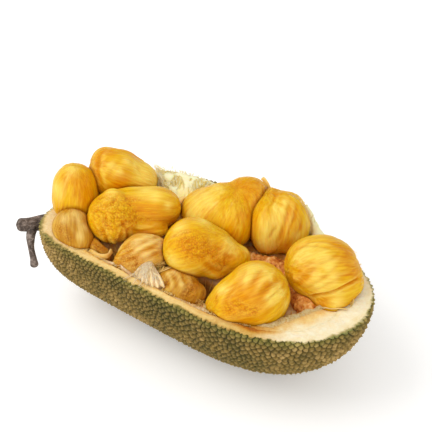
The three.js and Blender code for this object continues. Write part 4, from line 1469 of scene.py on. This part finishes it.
def fringe(line, count, heading, spread, length, width, seed, paleness=(0.4, 1.0)):
    """Fibres that stand out along a line."""
    line = RIM_MIDDLE + np.array(line, float)
    share = np.sort(fibre_rng.uniform(0, len(line) - 1.001, count))
    low = share.astype(int)
    starts = line[low] + (line[low + 1] - line[low]) * (share - low)[:, None]
    starts += fibre_rng.normal(0, 0.9, (count, 3))
    headings = unit(np.array(heading, float) + fibre_rng.normal(0, spread, (count, 3)))
    lines = fibre_lines(starts, headings, length * fibre_rng.uniform(0.5, 1.4, count), 6, 0.3, seed)
    return (clear_of_bulbs(lines), width * fibre_rng.uniform(0.5, 1.5, count),
            fibre_rng.uniform(*paleness, count))


def laid_on(distance, count, line, heading, spread, length, width, seed, paleness=(0.6, 1.0)):
    """Fibres that start along a line and follow the surface that the distance describes."""
    lines, widths, _ = fringe(line, count, heading, spread, length, width, seed)
    flat = settled(lambda points: distance(points) - 0.2, lines.reshape(-1, 3), 3)
    return flat.reshape(lines.shape), widths, fibre_rng.uniform(*paleness, count)


# %% Core
core, _ = clump("granular_core",
                [(38, 31, -12, 13, 9, 8, -5), (60, 30, -11, 16, 11, 9, -12), (84, 15, -11, 17, 13, 10, -38),
                 (102, -4, -11, 15, 12, 11, -45), (114, -16, -11, 9, 7, 9, -45)], 1.1,
                lambda at: 0.9 * noise(at, 2.8, 31) + 1.0 * noise(at, 1.6, 32) + 0.6 * noise(at, 9, 33))

# %% Far rags and torn edges
def curtain(at):
    """The roughness of rags that hang in long folds."""
    drawn = at * (1, 0.6, 0.22)
    return 0.5 * noise(drawn, 2.8, 41) + 0.3 * noise(drawn, 1.2, 42) + 1.3 * noise(at, 10, 43)


far_rags, on_far_rags = clump("torn_far_rags",
                              [(-100, 70, 5, 16, 11, 13, 24), (-84, 79, 5, 17, 12, 14, 24),
                               (-66, 86, 4, 17, 12, 14, 14), (-48, 90, 1, 17, 12, 13, 6),
                               (-32, 93, -1, 15, 10, 11, 0), (-64, 71, 0, 17, 13, 11, 12),
                               (-45, 75, -1, 15, 13, 10, 6), (-47, 63, -5, 10, 9, 9, 10)],
                              1.0, curtain, blend=10.0, rise=0.025)
BY_THE_DOME = [(-84, 84, 27), (-77, 77, 24), (-70, 70, 19), (-66, 64, 14)]
FAR_TOP = [(-104, 72, 17), (-90, 81, 18), (-76, 88, 17), (-62, 93, 16), (-48, 97, 13), (-34, 98, 9),
           (-22, 97, 4)]
far_fringe = fibre_piece("fringe_of_far_rags",
                         [fringe(FAR_TOP, 220, (0, 0.2, 0.5), 0.5, 2.6, 0.7, 101, (0.6, 1.0)),
                          laid_on(on_far_rags, 420, FAR_TOP, (0.3, -0.75, -0.6), 0.3, 24, 0.9, 102,
                                  (0.0, 0.9)),
                          fringe(BY_THE_DOME, 110, (0.8, 0.1, -0.7), 0.2, 10, 0.8, 103, (0.3, 0.9))])

torn_edge, on_torn_edge = clump("torn_edge_of_pale_bulb",
                                [(52, 97, 12, 8, 4, 9, 0), (62, 93, 10, 8, 4, 9, -30),
                                 (71, 87, 7, 8, 4.5, 9, -40), (80, 79, 3, 9, 4.5, 8, -42),
                                 (90, 70, 0, 9, 4.5, 6, -45)],
                                0.9, lambda at: 1.2 * curtain(at), rise=0.02)
EDGE_TOP = [(46, 100, 19), (56, 98, 18), (66, 93, 16), (75, 85, 12), (85, 76, 6), (95, 65, 1)]
edge_fringe = fibre_piece("fringe_of_torn_edge",
                          [fringe(EDGE_TOP, 200, (0.2, 0.2, 0.5), 0.5, 2.6, 0.9, 111, (0.7, 1.0)),
                           laid_on(on_torn_edge, 120, EDGE_TOP, (-0.3, -0.5, -0.6), 0.3, 8, 0.9, 112)])

# %% White tuft
TUFT_ROOT = np.array([-41.0, -20.0, 3.0])  # all its strands fan out from here
TUFT_BASE = (-31, -37, -4, 12, 7, 5, -15)
TUFT_ENDS = [(-46, -38, -1), (-41, -42, -1), (-36, -45, 0), (-31, -46, 0), (-26, -46, 0), (-21, -45, -1),
             (-17, -42, -3)]


def combed(at):
    """The roughness of pith torn into strands."""
    return 0.5 * noise(at * (1, 0.5, 1), 1.8, 51) + 0.6 * noise(at, 5, 53)


def strand_lobe(end):
    """A long thin lobe from the root to an end."""
    run = np.array(end) - TUFT_ROOT
    middle = TUFT_ROOT + run * 0.52
    return (*middle, np.hypot(run[0], run[1]) * 0.54, 2.1, 3.6, math.degrees(math.atan2(run[1], run[0])))


white_tuft, on_tuft = clump("white_rag_tuft", [TUFT_BASE] + [strand_lobe(end) for end in TUFT_ENDS], 0.8,
                            combed, blend=2.6, rise=0.02)
root_line = [TUFT_ROOT - (2.5, 0, 1), TUFT_ROOT, TUFT_ROOT + (3, -0.5, -1)]
tuft_fibres = fibre_piece("fibres_of_white_tuft",
                          [laid_on(on_tuft, 60, root_line, (np.array(end) - TUFT_ROOT) / 28, 0.09, 26, 0.5,
                                   121 + n, (0.1, 1.0)) for n, end in enumerate(TUFT_ENDS)])
gold_fibres = fibre_piece("gold_fibres_by_the_wall",
                          [fringe([(-38, -18, -1), (-33, -21, -3), (-27, -28, -4)], 60,
                                  (0.8, 0.35, 0.2), 0.25, 9, 1.3, 131, (0.1, 0.5)),
                           fringe([(14, -40, -7), (26, -46, -5), (36, -50, -4)], 90,
                                  (0.3, -0.5, 0.0), 0.4, 5, 0.6, 132, (0.1, 0.6))])

# %% Fuzz along the outlines of two bulbs
PALE_BULB_OUTLINE = [(288, 194), (300, 202), (308, 215), (311, 229), (307, 243)]  # camera pixels
TIP_BULB_OUTLINE = [(330, 238), (345, 242), (356, 254), (361, 270), (361, 286)]


def outline_of(name, places):
    """Stops along a bulb's outline, from where the camera sees them."""
    lobes = BULBS[name]["lobes"]
    return seen_on(lambda points: lobes_distance(points, lobes), places) - RIM_MIDDLE


fuzz = fibre_piece("fuzz_on_the_bulbs",
                   [fringe(outline_of("bulb_08", PALE_BULB_OUTLINE), 170, (0.4, 0.4, 0.5), 0.5, 2.2,
                           0.5, 161),
                    fringe(outline_of("bulb_10", TIP_BULB_OUTLINE), 90, (0.5, 0.2, 0.4), 0.5, 1.6,
                           0.4, 162, (0.3, 0.9))])

# %% Orange rag in the crevice between three bulbs
crevice_rag, _ = clump("orange_rag_between_bulbs", [(-42, 60, 6, 9, 9, 10, 0), (-45, 52, 0, 8, 8, 9, 0)], 1.0,
                       curtain, rise=0.02)

# %% [markdown]
# ## Thin flaps
# A few torn pieces of skin and rag are thin sheets: a curl by the near wall, another curl and a
# loose strand at the tip, and a scrap where the two big bulbs meet. Each is a sheet between two
# bent edges, thin at its rim, with a real thickness.

# %% Flap maker
def flap(name, root, tip, curl, thickness, seed, columns=26, rows=12):
    """A thin curved sheet from a root line to a tip line; curl bends its middle upwards, in mm."""
    root, tip = smooth_line(root, columns), smooth_line(tip, columns)
    share = np.linspace(0, 1, rows)[:, None, None]
    sheet = root + (tip - root) * share + RIM_MIDDLE
    sheet = sheet + np.array([0, 0, curl]) * np.sin(share * math.pi)
    flat = sheet.reshape(-1, 3)
    sheet = sheet + (np.column_stack([noise(flat, 5, seed + k) for k in range(3)]) * 0.6).reshape(sheet.shape)
    across = np.gradient(sheet, axis=1)
    ahead = np.gradient(sheet, axis=0)
    normal = unit(np.cross(across, ahead))
    thin = np.sin(np.linspace(0.15, math.pi - 0.15, columns))[None, :, None] ** 0.5 * (1.1 - 0.8 * share)
    half_skin = normal * thickness / 2 * thin
    points = np.concatenate([(sheet + half_skin).reshape(-1, 3), (sheet - half_skin).reshape(-1, 3)])
    half = rows * columns
    number = np.arange(half).reshape(rows, columns)
    a, b, c, d = number[:-1, :-1], number[:-1, 1:], number[1:, 1:], number[1:, :-1]
    top = np.stack([a, b, c, d], axis=-1).reshape(-1, 4)
    rim = np.concatenate([number[0, :-1], number[:-1, -1], number[-1, :0:-1], number[:0:-1, 0]])
    after = np.roll(rim, -1)
    faces = np.concatenate([top, top[:, ::-1] + half,
                            np.stack([after, rim, rim + half, after + half], axis=1)])
    piece = new_piece(name, points, faces)
    paint(piece, "paleness", np.tile(np.repeat(np.linspace(0.1, 0.6, rows), columns), 2))
    return piece


# %% Flaps
skin_curl = flap("thin_curl", [(-101, -25, -3.5), (-94, -28, -3), (-87, -29, -2.5), (-81, -25, -2.5),
                               (-80, -17, -2)],
                 [(-99, -22, -1), (-92, -24.5, 0), (-86, -26, 0.5), (-82, -22.5, 0.5), (-82, -16, 1)],
                 1.4, 2.4, 142)
tip_curl = flap("curl_at_the_tip", [(131, 19, 3), (137, 11, 2), (140, 2, -2), (134, -3, -5)],
                [(134, 18, 5), (141, 11, 4), (144, 1, -1), (137, -6, -4)], 0.4, 1.2, 143)
peak_scrap = flap("scrap_on_the_fold", [(22, 92, 35), (27, 89, 32), (32, 86, 27)],
                  [(24, 94, 37), (30, 91, 34), (35, 88, 28)], 0.2, 0.9, 145)
strand = flap("loose_strand", [(112, -8, -6), (122, -10, -2), (134, -8, 0), (142, -6, 0)],
              [(113, -9, -5), (122, -12, -1), (134, -10, 1), (142, -8, 1)], 0.3, 1.4, 146)

# %% [markdown]
# ## Stalk
# A short woody stub leaves the stem end, and a twig hangs from it. Bark is dry, furrowed along its
# length and thick at the knots.

# %% Stalk piece
def branch(stops, sides=26, rings=40, seed=0):
    """A closed, furrowed tube along stops of (x, y, z, radius)."""
    path = smooth_line(stops, rings)
    middle, radius = path[:, :3] + RIM_MIDDLE, path[:, 3]
    ahead = unit(np.gradient(middle, axis=0))
    side = unit(np.cross(ahead, (0.3, 1.0, 0.2)))
    up = np.cross(ahead, side)
    turn = np.linspace(0, 2 * math.pi, sides, endpoint=False)
    ring = side[:, None] * np.cos(turn)[None, :, None] + up[:, None] * np.sin(turn)[None, :, None]
    spots = np.stack(np.broadcast_arrays(np.cos(turn)[None] * 4, np.sin(turn)[None] * 4,
                                         np.linspace(0, rings / 5, rings)[:, None]), axis=-1).reshape(-1, 3)
    furrow = 1 + (0.13 * noise(spots, 1.6, seed) + 0.10 * noise(spots, 4, seed + 1)).reshape(rings, sides)
    points = middle[:, None] + ring * (radius[:, None] * furrow)[..., None]
    points = np.concatenate([points.reshape(-1, 3), middle[:1] - ahead[:1] * 0.8,
                             middle[-1:] + ahead[-1:] * 0.8])
    faces = ring_faces(rings, sides).tolist()
    first, last = rings * sides, rings * sides + 1
    for n in range(sides):
        after = (n + 1) % sides
        faces.append([after, n, first])
        faces.append([(rings - 1) * sides + n, (rings - 1) * sides + after, last])
    return points, faces


STUB = [(-152, 7, -9, 8.5), (-161, -1, -6, 7.4), (-168, -8, -4, 6.3), (-174, -13, -3, 6.6),
        (-178, -16, -2.5, 5.4), (-179.5, -17, -2.2, 2.5)]
TWIG = [(-166, -9, -4, 4.8), (-165, -17, -9, 4.5), (-165, -19, -15, 3.7), (-164, -21, -23, 2.9),
        (-161, -24, -33, 3.1), (-160, -25, -39, 3.8), (-159.5, -25.5, -41, 2.4)]
stub_points, stub_faces = branch(STUB, seed=151)
twig_points, twig_faces = branch(TWIG, seed=155)
stalk = new_piece("woody_stalk", np.concatenate([stub_points, twig_points]),
                  stub_faces + [[n + len(stub_points) for n in face] for face in twig_faces])

# %% Core, bark and rag materials
CORE_GRAIN, CORE_SPECK = 2.2, 1.2  # sizes of the core's grains and of the specks on them, mm
BARK_FURROW, BARK_BLOTCH = 2.5, 10.0  # sizes of the bark's furrows and of its grey patches, mm

granular = new_material("granular_core_flesh")
place = add(granular, "ShaderNodeTexCoord").outputs["Object"]
grains = add(granular, "ShaderNodeTexVoronoi", {"Vector": place, "Scale": 1 / (CORE_GRAIN * MM)})
specks = add(granular, "ShaderNodeTexNoise", {"Vector": place, "Scale": 1 / (CORE_SPECK * MM), "Detail": 3.0})
# The tone read here is painted brighter on raised grains and darker in dips: painted light and shade.
raised = add(granular, "ShaderNodeAttribute", attribute_name="tone").outputs["Fac"]
mean = add(granular, "ShaderNodeMath", {0: specks.outputs["Fac"], 1: 0.9, 2: raised},
           operation="MULTIPLY_ADD")
tone = add(granular, "ShaderNodeMapRange", {"Value": mean.outputs[0], "From Min": 0.4, "From Max": 1.5})
browns = add(granular, "ShaderNodeValToRGB", {"Fac": tone.outputs[0]},
             stops=[(0.0, "#8e4210"), (0.35, "#cf7824"), (0.6, "#e89e40"), (1.0, "#f8c880")])
bump = add(granular, "ShaderNodeBump", {"Height": grains.outputs["Distance"], "Strength": 0.7,
                                        "Distance": 0.8 * MM})
granular_shader = add(granular, "ShaderNodeBsdfPrincipled",
                      {"Base Color": browns.outputs["Color"], "Roughness": 0.6,
                       "Normal": bump.outputs["Normal"], "Subsurface Weight": 0.2,
                       "Subsurface Scale": 0.002, "Subsurface Radius": (1.0, 0.5, 0.2)})
add(granular, "ShaderNodeOutputMaterial", {"Surface": granular_shader.outputs["BSDF"]})

bark = new_material("dry_jackfruit_bark")
place = add(bark, "ShaderNodeTexCoord").outputs["Object"]
furrows = add(bark, "ShaderNodeTexNoise", {"Vector": place, "Scale": 1 / (BARK_FURROW * MM), "Detail": 5.0,
                                           "Distortion": 0.8})
blotch = add(bark, "ShaderNodeTexNoise", {"Vector": place, "Scale": 1 / (BARK_BLOTCH * MM), "Detail": 2.0})
mean = add(bark, "ShaderNodeMath", {0: furrows.outputs["Fac"], 1: blotch.outputs["Fac"]})
tone = add(bark, "ShaderNodeMapRange", {"Value": mean.outputs[0], "From Min": 0.7, "From Max": 1.3})
greys = add(bark, "ShaderNodeValToRGB", {"Fac": tone.outputs[0]},
            stops=[(0.0, "#2b211c"), (0.45, "#5b4c42"), (1.0, "#95857a")])
bump = add(bark, "ShaderNodeBump", {"Height": furrows.outputs["Fac"], "Strength": 0.8, "Distance": 1.2 * MM})
bark_shader = add(bark, "ShaderNodeBsdfPrincipled",
                  {"Base Color": greys.outputs["Color"], "Roughness": 0.85, "Normal": bump.outputs["Normal"]})
add(bark, "ShaderNodeOutputMaterial", {"Surface": bark_shader.outputs["BSDF"]})

curtain_finish = rag_material("cream_torn_rag", "#fccc50", "#ffe884", "#fff7ca", "tone", (1.0, 1.0, 0.2), 0.2)
orange_rag = rag_material("orange_torn_rag", "#cc760e", "#eaa434", "#f8d88a", "tone", (1.0, 1.0, 0.2))
tuft_finish = rag_material("white_rag_fibre", "#e0aa5c", "#f6d494", "#fde8c0", "tone", (0.5, 0.5, 1.0), 0.5)
white_thread = rag_material("white_loose_fibre", "#cc9650", "#f4d69c", "#fdeccc", "paleness", (0.5, 0.5, 1.0))
cream_thread = rag_material("cream_loose_fibre", "#f4c24a", "#ffe484", "#fff4c8", "paleness", (0.5, 0.5, 1.0))

# %% Set the small pieces down
for piece, finish, slot, nodes in (
        (core, granular, "core", ["core"]), (crevice_rag, orange_rag, "rag", []),
        (far_rags, curtain_finish, "rag", ["rag_ridge"]), (torn_edge, curtain_finish, "rag", []),
        (far_fringe, cream_thread, "rag", []), (edge_fringe, cream_thread, "rag", []),
        (fuzz, thread_finish, "rag", []), (white_tuft, tuft_finish, "rag", ["rag_tuft"]),
        (tuft_fibres, white_thread, "rag", []), (gold_fibres, thread_finish, "rag", []),
        (skin_curl, thread_finish, "rag", []), (tip_curl, thread_finish, "rag", []),
        (peak_scrap, thread_finish, "rag", []), (strand, thread_finish, "rag", []),
        (stalk, bark, "stalk", ["stalk"])):
    piece.data.materials.append(finish)
    set_down(piece, slot, *nodes)

# %% [markdown]
# ## Floor and light
# A plain white table and soft studio light: one large lamp high on the left, one a little weaker on
# the right, and a pale sky all round, so that shadows stay soft and short. The table glows a
# little, as a light table does, and that keeps the shadow under the fruit pale.

# %% Floor
FLOOR_REACH = 3.0  # m
TABLE_GLOW = 0.2

floor_mesh = bpy.data.meshes.new("floor")
corners = [(x * FLOOR_REACH, y * FLOOR_REACH, 0) for x, y in ((-1, -1), (1, -1), (1, 1), (-1, 1))]
floor_mesh.from_pydata(corners, [], [(0, 1, 2, 3)])
floor = bpy.data.objects.new("floor", floor_mesh)
bpy.context.scene.collection.objects.link(floor)
paper = new_material("matte_white_paper")
paper_shader = add(paper, "ShaderNodeBsdfPrincipled",
                   {"Base Color": colour("#fbfaf8"), "Roughness": 0.9,
                    "Emission Color": colour("#ffffff"), "Emission Strength": TABLE_GLOW})
add(paper, "ShaderNodeOutputMaterial", {"Surface": paper_shader.outputs["BSDF"]})
floor_mesh.materials.append(paper)

# %% Lights
SKY_STRENGTH = 0.75
world = bpy.data.worlds.new("pale_sky")
bpy.context.scene.world = world
world.use_nodes = True
sky = world.node_tree.nodes["Background"]
sky.inputs["Color"].default_value = colour("#ffffff")
sky.inputs["Strength"].default_value = SKY_STRENGTH


def softbox(name, place, side, power):
    """A square lamp that faces the fruit."""
    data = bpy.data.lights.new(name, "AREA")
    data.size, data.energy = side, power
    lamp = bpy.data.objects.new(name, data)
    bpy.context.scene.collection.objects.link(lamp)
    lamp.location = place
    lamp.rotation_euler = (Vector((0, 0, 0.08)) - Vector(place)).to_track_quat("-Z", "Y").to_euler()


softbox("main_lamp", (-0.8, -0.35, 1.15), 1.1, 8.0)
softbox("fill_lamp", (0.9, -1.2, 0.9), 1.4, 6.0)
bpy.context.scene.view_settings.view_transform = "Standard"
